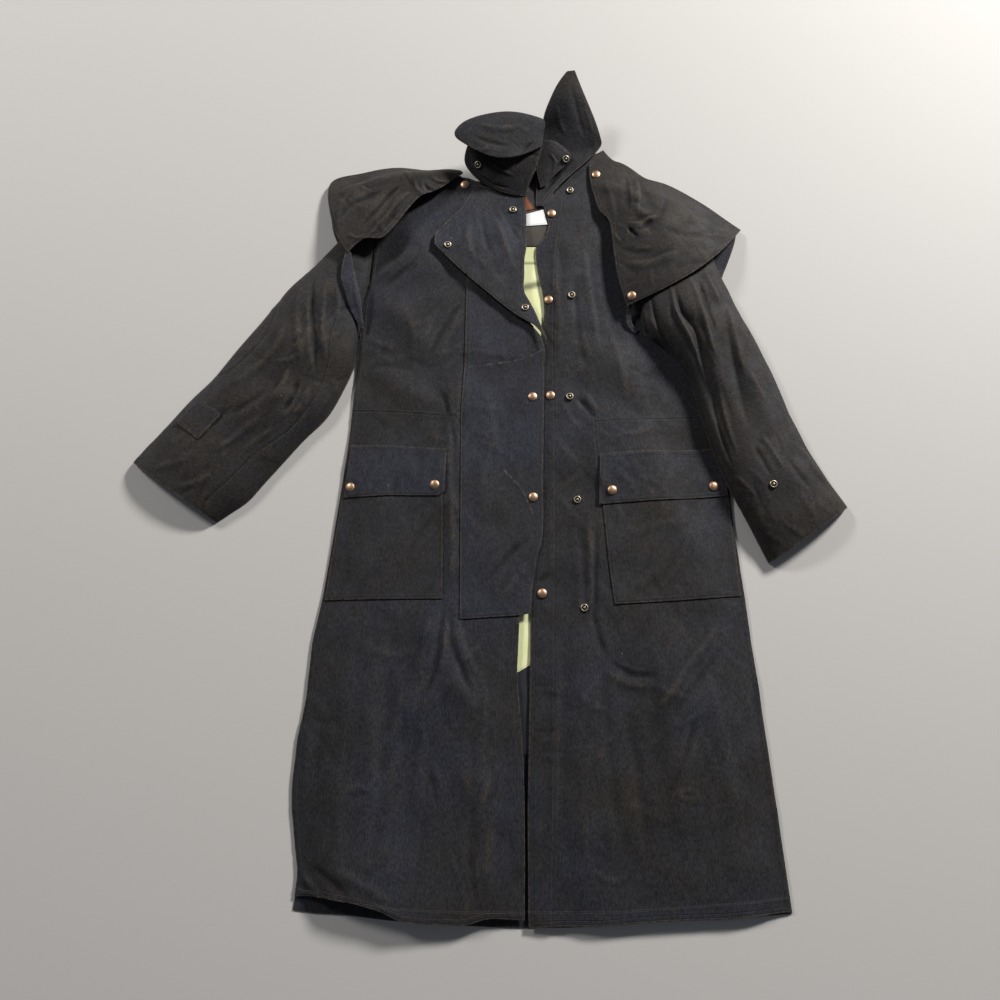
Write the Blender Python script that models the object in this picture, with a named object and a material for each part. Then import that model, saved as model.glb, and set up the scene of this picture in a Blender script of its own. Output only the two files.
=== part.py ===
"""Duster coat of waxed cotton, laid open on its back on a flat surface.

Metres, +Z up. The coat lies on the plane z = 0 with its collar towards +Y and
its hem towards -Y, so +X is the wearer's left. Every cut piece is its own
closed wall of cloth. All tables below are in millimetres, measured from the
foot of the centre line: x across the coat, y up from the hem, z off the floor.
"""

import math

import bpy
from mathutils import Vector
from mathutils.bvhtree import BVHTree
from mathutils.geometry import delaunay_2d_cdt

for old in list(bpy.data.objects):
    bpy.data.objects.remove(old, do_unlink=True)

# Driving sizes, millimetres
MM = 0.001
CLOTH = 1.8
LINING = 1.0
GAP = 0.4
SEAT_GAP = 0.6
STEP = CLOTH + GAP
NET_SPACING = 30.0
BODY_LIFT = 11.0
SLEEVE_COLUMNS = 12
CAPE_LAP_START = 825.0
CAPE_LAP_RAMP = 160.0
CAP_RADIUS = 7.6
STUD_RADIUS = 6.2
ROLLED_EDGE = 13.0
ROLL_DROP = 3.0
LAP_TO_SLEEVE = 40.0
# The middle of the whole coat's box, which becomes the origin
CENTRE_X = -90.0
CENTRE_Y = 699.8

# Colours and finish of the materials
FINISHES = {
    "waxed_cotton": ((0.020, 0.020, 0.024), 0.62, 0.0),
    "pale_lining": ((0.80, 0.80, 0.45), 0.8, 0.0),
    "navy_lining": ((0.012, 0.015, 0.035), 0.7, 0.0),
    "brown_facing": ((0.055, 0.042, 0.032), 0.75, 0.0),
    "leather_label": ((0.36, 0.12, 0.03), 0.55, 0.0),
    "white_label": ((0.85, 0.85, 0.83), 0.7, 0.0),
    "copper_cap": ((0.62, 0.28, 0.14), 0.32, 1.0),
    "brass_stud": ((0.52, 0.40, 0.24), 0.35, 1.0),
}

# Outlines of the cut pieces as they lie, each a closed run of (x, y)
RIGHT_SIDE = [
    (-371, 40), (-369, 74), (-374, 104), (-383, 164), (-384, 195), (-380, 258), (-370, 321),
    (-365, 405), (-353, 472), (-338, 592), (-330, 659), (-325, 705), (-320, 773), (-317, 826),
    (-314, 873),
]
RIGHT_ARMHOLE = [(-311, 929), (-307, 987), (-299, 1021), (-294, 1080), (-290, 1135)]
RIGHT_SHOULDER = [(-275, 1168), (-205, 1208), (-152, 1230), (-124, 1228)]
RIGHT_NECK = [(-98, 1214), (-70, 1204), (-40, 1196)]
RIGHT_FRONT_EDGE = [
    (-38, 1150), (-38, 1004), (-25, 907), (-23, 790), (-22, 668), (-25, 536), (-39, 448), (-43, 360),
    (-38, 287), (-35, 242), (-33, 180), (-33, 90), (-34, 9),
]
RIGHT_HEM = [(-87, 12), (-122, 5), (-184, 8), (-213, 13), (-246, 28), (-284, 38), (-334, 42)]

LEFT_SIDE = [
    (356, 19), (348, 125), (340, 226), (331, 332), (320, 472), (311, 580), (307, 662), (300, 770), (284, 850),
]
LEFT_ARMHOLE = [(262, 885), (232, 930), (211, 1000), (209, 1080), (226, 1135)]
LEFT_SHOULDER = [(248, 1158), (160, 1232), (135, 1262), (114, 1288)]
LEFT_NECK = [(60, 1237), (34, 1205), (8, 1174)]
LEFT_FRONT_EDGE = [
    (16, 1135), (9, 1114), (-6, 1092), (-7, 1069), (-3, 1036), (3, 1005), (6, 973), (5, 934), (-2, 898),
    (-4, 843), (-5, 772), (-7, 668), (-8, 618), (-13, 563), (-21, 503), (-22, 456), (-23, 388), (-25, 306),
    (-29, 149), (-29, -2),
]
LEFT_HEM = [(20, 1), (71, 2), (166, 9), (261, 12)]

BACK_HEM = [(-122, 0), (-233, 7), (-296, 14), (-345, 17), (-373, 21)]
BACK_HEM_LEFT = [(357, 16), (261, 8), (166, 6), (71, -1), (-31, -3)]
BACK_NECK = [(-60, 1232), (0, 1252), (60, 1270)]

GUN_FLAP = [
    (-116, 1214), (-97, 1212), (-70, 1202), (-27, 1191), (-24, 1163), (-23, 1089), (-27, 1063), (-28, 1002),
    (-8, 958), (8, 910), (-12, 936), (-43, 956), (-82, 988), (-117, 1018), (-149, 1049), (-184, 1086),
    (-182, 1109), (-160, 1143), (-140, 1165), (-126, 1190),
]
STORM_FLAP = [
    (-128, 1033), (-130, 875), (-135, 784), (-134, 610), (-133, 441), (-39, 447), (-22, 450), (-18, 492),
    (-14, 517), (-9, 545), (-3, 563), (0, 598), (1, 667), (3, 752), (5, 841), (6, 898), (-1, 921), (-18, 944),
    (-60, 983),
]
RIGHT_POCKET = [(-349, 471), (-335, 592), (-327, 664), (-163, 662), (-161, 560), (-160, 473)]
RIGHT_POCKET_FLAP = [
    (-326, 637), (-318, 728), (-240, 724), (-157, 719), (-160, 646), (-170, 639), (-240, 640),
]
LEFT_POCKET = [(110, 464), (102, 545), (94, 662), (200, 666), (303, 668), (307, 590), (314, 478), (210, 470)]
LEFT_POCKET_FLAP = [(90, 625), (94, 710), (170, 716), (237, 719), (297, 723), (303, 641), (200, 633)]

BACK_CAPE = [
    (-120, 1206), (-60, 1222), (0, 1242), (60, 1262), (112, 1284), (133, 1260), (172, 1242), (195, 1227),
    (227, 1216), (266, 1196), (301, 1173), (331, 1147), (352, 1124), (348, 1106), (319, 1032), (200, 1008),
    (80, 994), (-80, 990), (-220, 1004), (-328, 1050), (-366, 1120), (-374, 1166), (-377, 1222), (-330, 1238),
    (-286, 1249), (-247, 1252), (-205, 1245), (-167, 1247), (-141, 1240),
]
PALE_LINING = [(-56, 352), (-56, 720), (-54, 1094), (34, 1094), (42, 720), (20, 392), (-20, 372)]
NAVY_LINING = [(-62, 236), (-58, 350), (-20, 370), (20, 390), (24, 240)]
NECK_FACING = [(-58, 1096), (-50, 1196), (0, 1226), (30, 1196), (36, 1096)]
LEATHER_LABEL = [(-25, 1166), (-25, 1206), (8, 1206), (8, 1172)]
WHITE_LABEL = [(-23, 1135), (-23, 1159), (8, 1168), (15, 1138)]

# Folds in the cloth: start, bend and end on the floor plan, half width and rise
FOLD_COLUMNS = ("x1", "y1", "x2", "y2", "x3", "y3", "half", "rise")
RIGHT_FOLDS = [
    (-146, 850, -150, 660, -143, 440, 20, 6.0),
    (-172, 850, -160, 760, -146, 690, 17, -4.5),
    (-150, 470, -176, 345, -214, 275, 34, 7.0),
    (-150, 440, -142, 360, -104, 300, 30, 5.0),
    (-330, 470, -345, 330, -350, 210, 30, 5.5),
    (-250, 440, -268, 300, -250, 120, 46, 6.0),
    (-205, 250, -196, 150, -190, 20, 34, -5.0),
    (-110, 260, -92, 150, -80, 20, 30, 5.0),
    (-300, 880, -236, 830, -170, 800, 30, 4.5),
    (-300, 1000, -240, 960, -176, 880, 34, 6.0),
    (-196, 1060, -234, 1050, -290, 1010, 24, 7.0),
    (-250, 1130, -210, 1100, -170, 1030, 26, 6.0),
]
LIFTED_HEM = {"x": -275.0, "y": 34.0, "reach_x": 105.0, "reach_y": 120.0, "rise": 17.0}
STORM_FOLDS = [(-126, 878, -60, 888, 2, 902, 14, 3.0), (-100, 800, -88, 700, -96, 560, 30, 3.5)]
GUN_FOLDS = [
    (-120, 1190, -112, 1120, -106, 1040, 14, -4.0),
    (-78, 1175, -70, 1110, -40, 1000, 15, 4.5),
    (-140, 1120, -110, 1080, -60, 1020, 20, 3.0),
]
LEFT_FOLDS = [
    (36, 1080, 40, 900, 34, 600, 15, 4.0),
    (60, 780, 90, 700, 96, 640, 14, 3.0),
    (190, 440, 214, 300, 206, 120, 50, 7.0),
    (60, 420, 52, 250, 60, 30, 34, 5.0),
    (120, 430, 128, 300, 120, 180, 30, -4.0),
    (300, 420, 306, 260, 318, 90, 34, 5.0),
    (110, 960, 150, 900, 190, 850, 34, 6.0),
    (90, 900, 110, 820, 160, 770, 26, -3.0),
    (40, 1150, 60, 1060, 70, 960, 22, 4.0),
]
RIGHT_SLEEVE_FOLDS = [
    (-300, 1010, -360, 990, -420, 1000, 20, 7.0),
    (-336, 1000, -380, 940, -400, 860, 16, -7.0),
    (-360, 900, -400, 900, -450, 940, 20, 6.0),
    (-345, 850, -400, 830, -470, 840, 20, -6.0),
    (-400, 800, -470, 800, -520, 850, 22, 6.0),
    (-430, 740, -500, 740, -570, 790, 22, -5.0),
    (-500, 680, -560, 690, -620, 720, 24, 4.0),
]
LEFT_SLEEVE_FOLDS = [
    (236, 1005, 283, 894, 291, 800, 18, 11.0),
    (220, 930, 258, 815, 302, 680, 18, 10.0),
    (262, 960, 272, 850, 296, 740, 13, -8.0),
    (318, 1000, 330, 880, 370, 760, 22, 6.0),
    (300, 880, 340, 800, 350, 700, 20, -5.0),
    (360, 720, 390, 680, 440, 670, 24, 4.0),
]
LEFT_CAPE_FOLDS = [
    (96, 1212, 140, 1200, 176, 1192, 16, 4.0),
    (172, 1200, 172, 1150, 165, 1106, 13, 9.0),
    (184, 1200, 185, 1146, 178, 1108, 9, -8.0),
    (200, 1110, 240, 1136, 300, 1140, 26, 5.0),
]
RIGHT_CAPE_FOLDS = [
    (-160, 1232, -220, 1222, -300, 1214, 14, 7.0),
    (-200, 1206, -260, 1176, -340, 1166, 15, -6.0),
    (-270, 1116, -300, 1158, -340, 1214, 16, 7.0),
]

# Sections of the bent pieces: the two ends of each section, its bow in plan and its rise between them
SECTION_COLUMNS = ("x1", "y1", "z1", "x2", "y2", "z2", "bow", "rise")
RIGHT_SLEEVE = [
    (-332, 1152, 0, -291.5, 1136, 0, 0, 9),
    (-352, 1108, 0, -295.0, 1080, 0, 0, 17),
    (-378, 1077, 0, -300.0, 1021, 0, 0, 22),
    (-402, 1048, 0, -308.0, 987, 0, 0, 27),
    (-434, 1014, 0, -312.0, 929, 0, 0, 33),
    (-463, 975, 0, -318.0, 872, 0, 0, 37),
    (-494, 932, 0, -337.0, 822, 0, 0, 37),
    (-524, 889, 0, -360.0, 778, 0, 0, 36),
    (-556, 846, 0, -397.0, 738, 0, 0, 35),
    (-588, 812, 0, -428.0, 700, 0, 0, 33),
    (-636, 751, 0, -484.0, 632, 0, 0, 31),
    (-678, 699, 0, -532.0, 598, 0, 0, 27),
]
# Cuff tab: where its rows lie along the right sleeve's sections, and across in the sleeve's columns
CUFF_TAB_ALONG = (8.95, 9.0, 9.5, 9.65)
CUFF_TAB_ACROSS = (2.4, 3, 4, 5)
LEFT_SLEEVE = [
    (282, 1148, 0, 222, 1128, 0, 0, 10),
    (297, 1096, 0, 184, 1058, 0, 0, 22),
    (314, 1040, 0, 165, 1000, 0, 0, 32),
    (334, 986, 0, 178, 925, 0, 0, 38),
    (350, 951, 0, 218, 893, 0, 0, 40),
    (372, 905, 0, 250, 846, 0, 0, 38),
    (396, 845, 0, 264, 783, 0, 0, 36),
    (418, 775, 0, 282, 712, 0, 0, 34),
    (442, 716, 0, 306, 648, 0, 0, 33),
    (469, 670, 0, 332, 595, 0, 0, 31),
    (498, 623, 0, 362, 531, 0, 0, 27),
]
LEFT_CAPE = [
    (91, 1255, 12, 118, 1289, 10, 0, 1),
    (91, 1236, 13, 134, 1268, 9, 0, 2),
    (94, 1209, 14, 152, 1264, 7, 0, 4),
    (100, 1183, 16, 173, 1250, 6, 0, 7),
    (105, 1157, 19, 195, 1232, 5, 0, 11),
    (123, 1139, 22, 227, 1224, 5, 0, 18),
    (126, 1093, 26, 265, 1201, 6, 4, 25),
    (130, 1045, 27, 299, 1177, 7, 10, 30),
    (137, 1005, 27, 330, 1150, 8, 18, 32),
    (147, 971, 26, 358, 1126, 10, 25, 31),
]
RIGHT_CAPE = [
    (-136, 1235, 21, -140, 1243, 18, 0, 1),
    (-158, 1215, 25, -166, 1249, 14, 0, 8),
    (-182, 1192, 33, -205, 1247, 12, 0, 12),
    (-211, 1176, 40, -247, 1255, 10, 0, 13),
    (-236, 1139, 44, -286, 1252, 10, 0, 14),
    (-259, 1105, 46, -329, 1240, 11, 0, 14),
    (-277, 1088, 47, -379, 1224, 13, 0, 12),
    (-304, 1090, 47, -372, 1154, 24, 0, 8),
    (-332, 1063, 44, -353, 1097, 39, 0, 3),
]
RIGHT_STAND = [
    (-112, 1224, 15, -26, 1189, 14, 8, 0),
    (-133, 1244, 26, -17, 1209, 24, 7, 2),
    (-132, 1262, 38, -4, 1238, 34, 4, 3),
    (-125, 1277, 47, 5, 1271, 42, 0, 2),
]
RIGHT_LEAF = [
    (-146, 1270, 64, 5, 1269, 45, 30, 0),
    (-150, 1281, 68, 7, 1290, 49, 14, 3),
    (-134, 1300, 70, 11, 1307, 54, -4, 5),
    (-109, 1313, 68, 7, 1317, 56, -10, 3),
]
LEFT_LEAF = [
    (-6, 1173, 9.5, 8, 1173, 12, 0, 0),
    (-6, 1199, 10, 32, 1209, 13, 0, 0),
    (-4, 1228, 12, 71, 1246, 14, 0, 1),
    (0, 1258, 16, 114, 1288, 15, 0, 2),
    (4, 1284, 22, 112, 1302, 24, 0, 4),
    (7, 1311, 31, 104, 1322, 35, 0, 7),
    (7, 1330, 43, 91, 1348, 47, 0, 9),
    (18, 1355, 55, 81, 1364, 58, 0, 9),
    (32, 1382, 65, 70, 1385, 68, 0, 5),
    (49, 1401, 72, 63, 1402, 73, 0, 0),
]
THROAT_TAB = [
    (3, 1207, 14, 13, 1211, 14, 0, 0),
    (-4, 1229, 19, 27, 1229, 18, 0, 2),
    (-5, 1250, 24, 49, 1249, 21, 0, 3),
    (-1, 1269, 29, 60, 1263, 26, 0, 4),
    (3, 1283, 32, 45, 1278, 30, 0, 3),
    (12, 1291, 34, 30, 1289, 32, 0, 1),
]
RIGHT_STRAP = [
    (-336, 1068, 41, -327, 1066, 41, 0, 0),
    (-343, 1022, 43, -317, 1018, 39, 0, 2),
    (-334, 993, 41, -309, 990, 35, 0, 2),
    (-326, 964, 34, -306, 962, 28, 0, 1),
    (-308, 932, 20, -302, 929, 19, 0, 0),
]
LEFT_STRAP = [
    (149, 978, 27, 157, 979, 27, 0, 0),
    (147, 956, 22, 155, 957, 22, 0, 0),
    (150, 938, 18, 158, 943, 18, 0, 0),
    (163, 926, 16, 169, 934, 16, 0, 0),
]

# Snaps: panel that carries each one, place on the floor plan and kind
SNAP_COLUMNS = ("name", "panel", "x", "y", "kind")
SNAPS = [
    ("cap_left_edge_1", "front_left", 22, 1158, "cap"),
    ("cap_left_edge_2", "front_left", 14, 989, "cap"),
    ("cap_left_edge_3", "front_left", 15, 814, "cap"),
    ("cap_left_edge_4", "front_left", -3, 482, "cap"),
    ("cap_storm_upper", "storm_flap", -15, 811, "cap"),
    ("cap_storm_lower", "storm_flap", -16, 638, "cap"),
    ("cap_right_pocket_inner", "pocket_flap_right", -176, 657, "cap"),
    ("cap_right_pocket_outer", "pocket_flap_right", -315, 655, "cap"),
    ("cap_left_pocket_inner", "pocket_flap_left", 112, 648, "cap"),
    ("cap_left_pocket_outer", "pocket_flap_left", 280, 657, "cap"),
    ("cap_left_cape_neck", "cape_left", 103, 1234, "cap"),
    ("cap_left_cape_corner", "cape_left", 155, 987, "cap"),
    ("cap_right_cape_neck", "front_right", -133, 1214, "cap"),
    ("stud_left_1", "front_left", 56, 1205, "stud"),
    ("stud_left_2", "front_left", 54, 996, "stud"),
    ("stud_left_3", "front_left", 47, 811, "stud"),
    ("stud_left_4", "front_left", 56, 634, "stud"),
    ("stud_left_5", "front_left", 63, 459, "stud"),
    ("stud_gun_flap_outer", "gun_flap", -161, 1085, "stud"),
    ("stud_gun_flap_neck", "gun_flap", -47, 1164, "stud"),
    ("stud_gun_flap_point", "gun_flap", -27, 969, "stud"),
    ("stud_collar", "collar_stand_right", -109, 1241, "stud"),
    ("stud_throat_tab", "throat_tab", 48, 1257, "stud"),
    ("stud_left_cuff", "sleeve_top_left", 367, 653, "stud"),
]


def material(name):
    """Principled material with the finish of that name."""
    made = bpy.data.materials.get(name)
    if made:
        return made
    colour, roughness, metallic = FINISHES[name]
    made = bpy.data.materials.new(name)
    made.use_nodes = True
    shader = made.node_tree.nodes["Principled BSDF"]
    shader.inputs["Base Color"].default_value = (*colour, 1.0)
    shader.inputs["Roughness"].default_value = roughness
    shader.inputs["Metallic"].default_value = metallic
    made.diffuse_color = (*colour, 1.0)
    return made


def place(x, y, z):
    """A point of the tables, as metres in the coat's own frame."""
    return Vector(((x - CENTRE_X) * MM, (y - CENTRE_Y) * MM, z * MM))


def ease(t):
    """Smooth step from 0 to 1."""
    t = min(1.0, max(0.0, t))
    return t * t * (3.0 - 2.0 * t)


def at_level(points, y):
    """The x of a side line at level y, from its points."""
    run = sorted((p[1], p[0]) for p in points)
    if y <= run[0][0]:
        return run[0][1]
    for (y1, x1), (y2, x2) in zip(run, run[1:]):
        if y <= y2:
            return x1 + (x2 - x1) * (y - y1) / (y2 - y1)
    return run[-1][1]


def near_segment(x, y, x1, y1, x2, y2):
    """Distance from a point to a segment, and how far along it the nearest point lies."""
    dx = x2 - x1
    dy = y2 - y1
    along = ((x - x1) * dx + (y - y1) * dy) / (dx * dx + dy * dy)
    along = min(1.0, max(0.0, along))
    return math.hypot(x - x1 - along * dx, y - y1 - along * dy), along


def fold_height(folds, x, y):
    """Summed rise of a table of folds at a point: soft ridges, or troughs where rise is below zero."""
    total = 0.0
    for row in folds:
        fold = dict(zip(FOLD_COLUMNS, row))
        first, s1 = near_segment(x, y, fold["x1"], fold["y1"], fold["x2"], fold["y2"])
        second, s2 = near_segment(x, y, fold["x2"], fold["y2"], fold["x3"], fold["y3"])
        distance, along = (first, 0.5 * s1) if first < second else (second, 0.5 + 0.5 * s2)
        if distance < fold["half"]:
            fade = ease(min(along, 1.0 - along) / 0.28 + 0.15)
            total += fold["rise"] * fade * (0.5 + 0.5 * math.cos(math.pi * distance / fold["half"]))
    return total


def ground(y):
    """Height under the back panel: the floor, or the cape's back half where the shoulders lie on it."""
    return STEP * ease((y - CAPE_LAP_START) / CAPE_LAP_RAMP)


def floor_height(x, y):
    return 0.0


def back_height(x, y):
    return ground(y)


def lining_height(x, y):
    return ground(y) + STEP


def lining_clearance(x, y):
    """Least lift of a front over the lining, or over the facing and labels behind the neck."""
    layers = 1.0 + ease((y - 1070.0) / 30.0)
    return (LINING + GAP) * layers * ease((70.0 - abs(x)) / 10.0)


def label_height(x, y):
    return ground(y) + STEP + LINING + GAP


def right_front_height(x, y):
    """Underside of the right front: low at its side seam, raised in the middle and at the lifted hem."""
    side = ease((x - at_level(RIGHT_SIDE + RIGHT_ARMHOLE, y)) / 75.0)
    centre = 0.5 + 0.5 * ease((-50.0 - x) / 80.0)
    shoulder = 1.0 - 0.5 * ease((y - 1090.0) / 90.0)
    hem = LIFTED_HEM
    corner = math.exp(-((x - hem["x"]) / hem["reach_x"]) ** 2 - ((y - hem["y"]) / hem["reach_y"]) ** 2)
    lift = side * (BODY_LIFT * centre * shoulder + hem["rise"] * corner + fold_height(RIGHT_FOLDS, x, y))
    return ground(y) + STEP + max(lining_clearance(x, y), lift)


def left_cover(y):
    """The line up to which the left front is free: its side seam, or the sleeve that lies on it."""
    sleeve = [(row[3], row[4]) for row in LEFT_SLEEVE]
    if y < sleeve[-1][1]:
        return at_level(LEFT_SIDE, y)
    return min(at_level(LEFT_SIDE, y), at_level(sleeve[2:], y) - LAP_TO_SLEEVE)


def left_front_height(x, y):
    """Underside of the left front: flat under the sleeve, with its front edge rolled down."""
    side = ease((left_cover(y) - x) / 75.0)
    inside = x - at_level(LEFT_FRONT_EDGE, y)
    centre = 0.5 + 0.5 * ease((inside - 40.0) / 80.0)
    shoulder = 1.0 - 0.55 * ease((y - 1060.0) / 100.0)
    roll = ROLL_DROP * (1.0 - ease(inside / ROLLED_EDGE))
    lift = side * (BODY_LIFT * centre * shoulder + fold_height(LEFT_FOLDS, x, y))
    return ground(y) + STEP + max(lining_clearance(x, y), lift - roll)


def storm_flap_height(x, y):
    return right_front_height(x, y) + STEP + max(0.0, fold_height(STORM_FOLDS, x, y))


def gun_flap_height(x, y):
    """Underside of the gun flap: sewn down at the collar seam, standing off at its free lower edge."""
    lower = ease((1165.0 - y) / 60.0)
    free = [(p[0], p[1]) for p in GUN_FLAP[9:16]]
    edge = min(math.hypot(x - p[0], y - p[1]) for p in free)
    stand_off = 5.0 * lower * (1.0 - ease(edge / 70.0))
    folds = max(-1.5 * lower, fold_height(GUN_FOLDS, x, y) * lower)
    return right_front_height(x, y) + STEP * (1.0 + 1.9 * lower) + stand_off + folds


def right_pocket_height(x, y):
    return right_front_height(x, y) + STEP


def left_pocket_height(x, y):
    return left_front_height(x, y) + STEP


def right_pocket_flap_height(x, y):
    return right_front_height(x, y) + STEP * (1.0 + ease((718.0 - y) / 40.0))


def left_pocket_flap_height(x, y):
    return left_front_height(x, y) + STEP * (1.0 + ease((715.0 - y) / 40.0))


def left_under_sleeve_height(x, y):
    """Underside of the left under sleeve: on the left front and pocket, then on the floor beyond."""
    shelf = 2.0 * STEP + 0.2 + 2.0 * STEP * (1.0 - ease((y - 735.0) / 60.0))
    beyond = ease((x - at_level(LEFT_SIDE, y) - 8.0) / 45.0)
    return ground(y) + shelf * (1.0 - beyond)


def right_under_sleeve_height(x, y):
    return ground(y)


def inside_outline(outline, x, y):
    """True where a point lies inside a closed outline."""
    inside = False
    for (x1, y1), (x2, y2) in zip(outline, outline[1:] + outline[:1]):
        if (y1 > y) != (y2 > y) and x < x1 + (x2 - x1) * (y - y1) / (y2 - y1):
            inside = not inside
    return inside


def clear_of_lines(outlines, x, y, distance):
    """True where a point keeps that distance from every line of the outlines."""
    for outline in outlines:
        for (x1, y1), (x2, y2) in zip(outline, outline[1:] + outline[:1]):
            if near_segment(x, y, x1, y1, x2, y2)[0] < distance:
                return False
    return True


def anticlockwise(outline):
    """The outline's points in anticlockwise order."""
    pairs = zip(outline, outline[1:] + outline[:1])
    area = sum(x1 * y2 - x2 * y1 for (x1, y1), (x2, y2) in pairs)
    return outline if area > 0.0 else outline[::-1]


def split_line(start, end, longest):
    """Points from start up to, and not with, end, no further apart than the longest step."""
    count = max(1, math.ceil(math.hypot(end[0] - start[0], end[1] - start[1]) / longest))
    return [(start[0] + (end[0] - start[0]) * k / count, start[1] + (end[1] - start[1]) * k / count)
            for k in range(count)]


def fold_points(folds, spacing):
    """Points on the crest of each fold, so that the net has its height there."""
    points = []
    for row in folds:
        fold = dict(zip(FOLD_COLUMNS, row))
        bend = (fold["x2"], fold["y2"])
        points += split_line((fold["x1"], fold["y1"]), bend, spacing)
        points += split_line(bend, (fold["x3"], fold["y3"]), spacing)
    return points


def cloth_net(outlines, spacing, folds):
    """One net of triangles under all the outlines of a stack, so that its panels share their points.

    Returns the points and, for each outline, its triangles.
    """
    names = list(outlines)
    points = []
    rings = []
    for name in names:
        outline = anticlockwise(outlines[name])
        ring = []
        for start, end in zip(outline, outline[1:] + outline[:1]):
            for point in split_line(start, end, spacing * 1.3):
                ring.append(len(points))
                points.append(point)
        rings.append(ring)
    lines = [outlines[name] for name in names]
    inner = []
    for point in fold_points(folds, spacing):
        if clear_of_lines(lines, *point, spacing * 0.4):
            inner.append(point)
    crests = list(inner)
    low_x = min(p[0] for p in points)
    high_x = max(p[0] for p in points)
    low_y = min(p[1] for p in points)
    high_y = max(p[1] for p in points)
    row_height = spacing * math.sqrt(3.0) / 2.0
    for row in range(int((high_y - low_y) / row_height) + 1):
        y = low_y + row * row_height
        for column in range(int((high_x - low_x) / spacing) + 1):
            x = low_x + (column + 0.5 * (row % 2)) * spacing
            if not any(inside_outline(line, x, y) for line in lines):
                continue
            if not clear_of_lines(lines, x, y, spacing * 0.45):
                continue
            if all(math.hypot(x - p[0], y - p[1]) > spacing * 0.62 for p in crests):
                inner.append((x, y))
    flat = [Vector(p) for p in points + inner]
    result = delaunay_2d_cdt(flat, [], rings, 1, 0.01)
    triangles = {name: [] for name in names}
    for face, owners in zip(result[2], result[5]):
        for owner in owners:
            triangles[names[owner]].append(tuple(face))
    return [(v.x, v.y) for v in result[0]], triangles


def border_edges(triangles):
    """Edges that only one triangle uses, each in its triangle's direction."""
    seen = {}
    for a, b, c in triangles:
        for edge in ((a, b), (b, c), (c, a)):
            seen[edge] = True
    return [edge for edge in seen if (edge[1], edge[0]) not in seen]


def make_object(name, vertices, faces, finish):
    """A mesh object with one material, smooth but for its sharp edges."""
    mesh = bpy.data.meshes.new(name)
    mesh.from_pydata(vertices, [], faces)
    mesh.update()
    mesh.materials.append(material(finish))
    mesh.shade_smooth()
    mesh.set_sharp_from_angle(angle=math.radians(40.0))
    made = bpy.data.objects.new(name, mesh)
    bpy.context.scene.collection.objects.link(made)
    return made


def net_wall(name, net, height, thickness=CLOTH, finish="waxed_cotton"):
    """Closed wall of cloth on one outline's triangles, its underside at the given height.

    Its border is drawn in by half the seam gap, so that two panels that share a line stay apart.
    """
    points, triangles = net
    tris = []
    for a, b, c in triangles[name]:
        pa, pb, pc = points[a], points[b], points[c]
        turn = (pb[0] - pa[0]) * (pc[1] - pa[1]) - (pb[1] - pa[1]) * (pc[0] - pa[0])
        tris.append((a, b, c) if turn > 0.0 else (a, c, b))
    rim = border_edges(tris)
    pull = {}
    for a, b in rim:
        dx = points[b][0] - points[a][0]
        dy = points[b][1] - points[a][1]
        length = math.hypot(dx, dy)
        for end in (a, b):
            old = pull.get(end, (0.0, 0.0))
            pull[end] = (old[0] - dy / length, old[1] + dx / length)
    used = sorted({k for tri in tris for k in tri})
    number = {k: i for i, k in enumerate(used)}
    lower = []
    upper = []
    for k in used:
        x, y = points[k]
        z = height(x, y)
        if k in pull:
            length = math.hypot(*pull[k])
            x += pull[k][0] / length * GAP / 2.0
            y += pull[k][1] / length * GAP / 2.0
        lower.append(place(x, y, z))
        upper.append(place(x, y, z + thickness))
    count = len(used)
    faces = [(number[a] + count, number[b] + count, number[c] + count) for a, b, c in tris]
    faces += [(number[c], number[b], number[a]) for a, b, c in tris]
    for a, b in rim:
        faces.append((number[a], number[b], number[b] + count))
        faces.append((number[a], number[b] + count, number[a] + count))
    return make_object(name, lower + upper, faces, finish)


def flat_piece(name, outline, height, thickness, finish, spacing=90.0):
    """Wall on an outline of its own net, for pieces that lie flat."""
    return net_wall(name, cloth_net({name: outline}, spacing, []), height, thickness, finish)


def grid_wall(name, grid, level_sides=False, thickness=CLOTH, finish="waxed_cotton"):
    """Closed wall below a grid of points that are its outer face, thickened along the normals.

    With level_sides, the two long borders stand on a level edge, as a sleeve's seams do.
    """
    rows = len(grid)
    columns = len(grid[0])
    inner = []
    for i in range(rows):
        line = []
        for j in range(columns):
            along = grid[min(i + 1, rows - 1)][j] - grid[max(i - 1, 0)][j]
            across = grid[i][min(j + 1, columns - 1)] - grid[i][max(j - 1, 0)]
            normal = across.cross(along)
            if normal.z < 0.0:
                normal = -normal
            if level_sides and j in (0, columns - 1):
                normal.z = 0.0
            line.append(grid[i][j] - normal.normalized() * thickness * MM)
        inner.append(line)
    vertices = [p for line in grid for p in line] + [p for line in inner for p in line]
    offset = rows * columns
    low = grid[rows // 2]
    high = grid[rows // 2 + 1]
    k = columns // 2
    upward = (low[k + 1] - low[k]).cross(high[k] - low[k]).z > 0.0
    faces = []

    def quad(a, b, c, d):
        """Two triangles, turned so that the outer face points up."""
        for tri in ((a, b, c), (a, c, d)):
            faces.append(tri if upward else tri[::-1])

    for i in range(rows - 1):
        for j in range(columns - 1):
            a = i * columns + j
            b = a + 1
            c = a + columns + 1
            d = a + columns
            quad(a, b, c, d)
            quad(d + offset, c + offset, b + offset, a + offset)
    loop = list(range(columns))
    loop += [i * columns + columns - 1 for i in range(1, rows)]
    loop += [(rows - 1) * columns + j for j in range(columns - 2, -1, -1)]
    loop += [i * columns for i in range(rows - 2, 0, -1)]
    for a, b in zip(loop, loop[1:] + loop[:1]):
        quad(b, a, a + offset, b + offset)
    return make_object(name, vertices, faces, finish)


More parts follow.
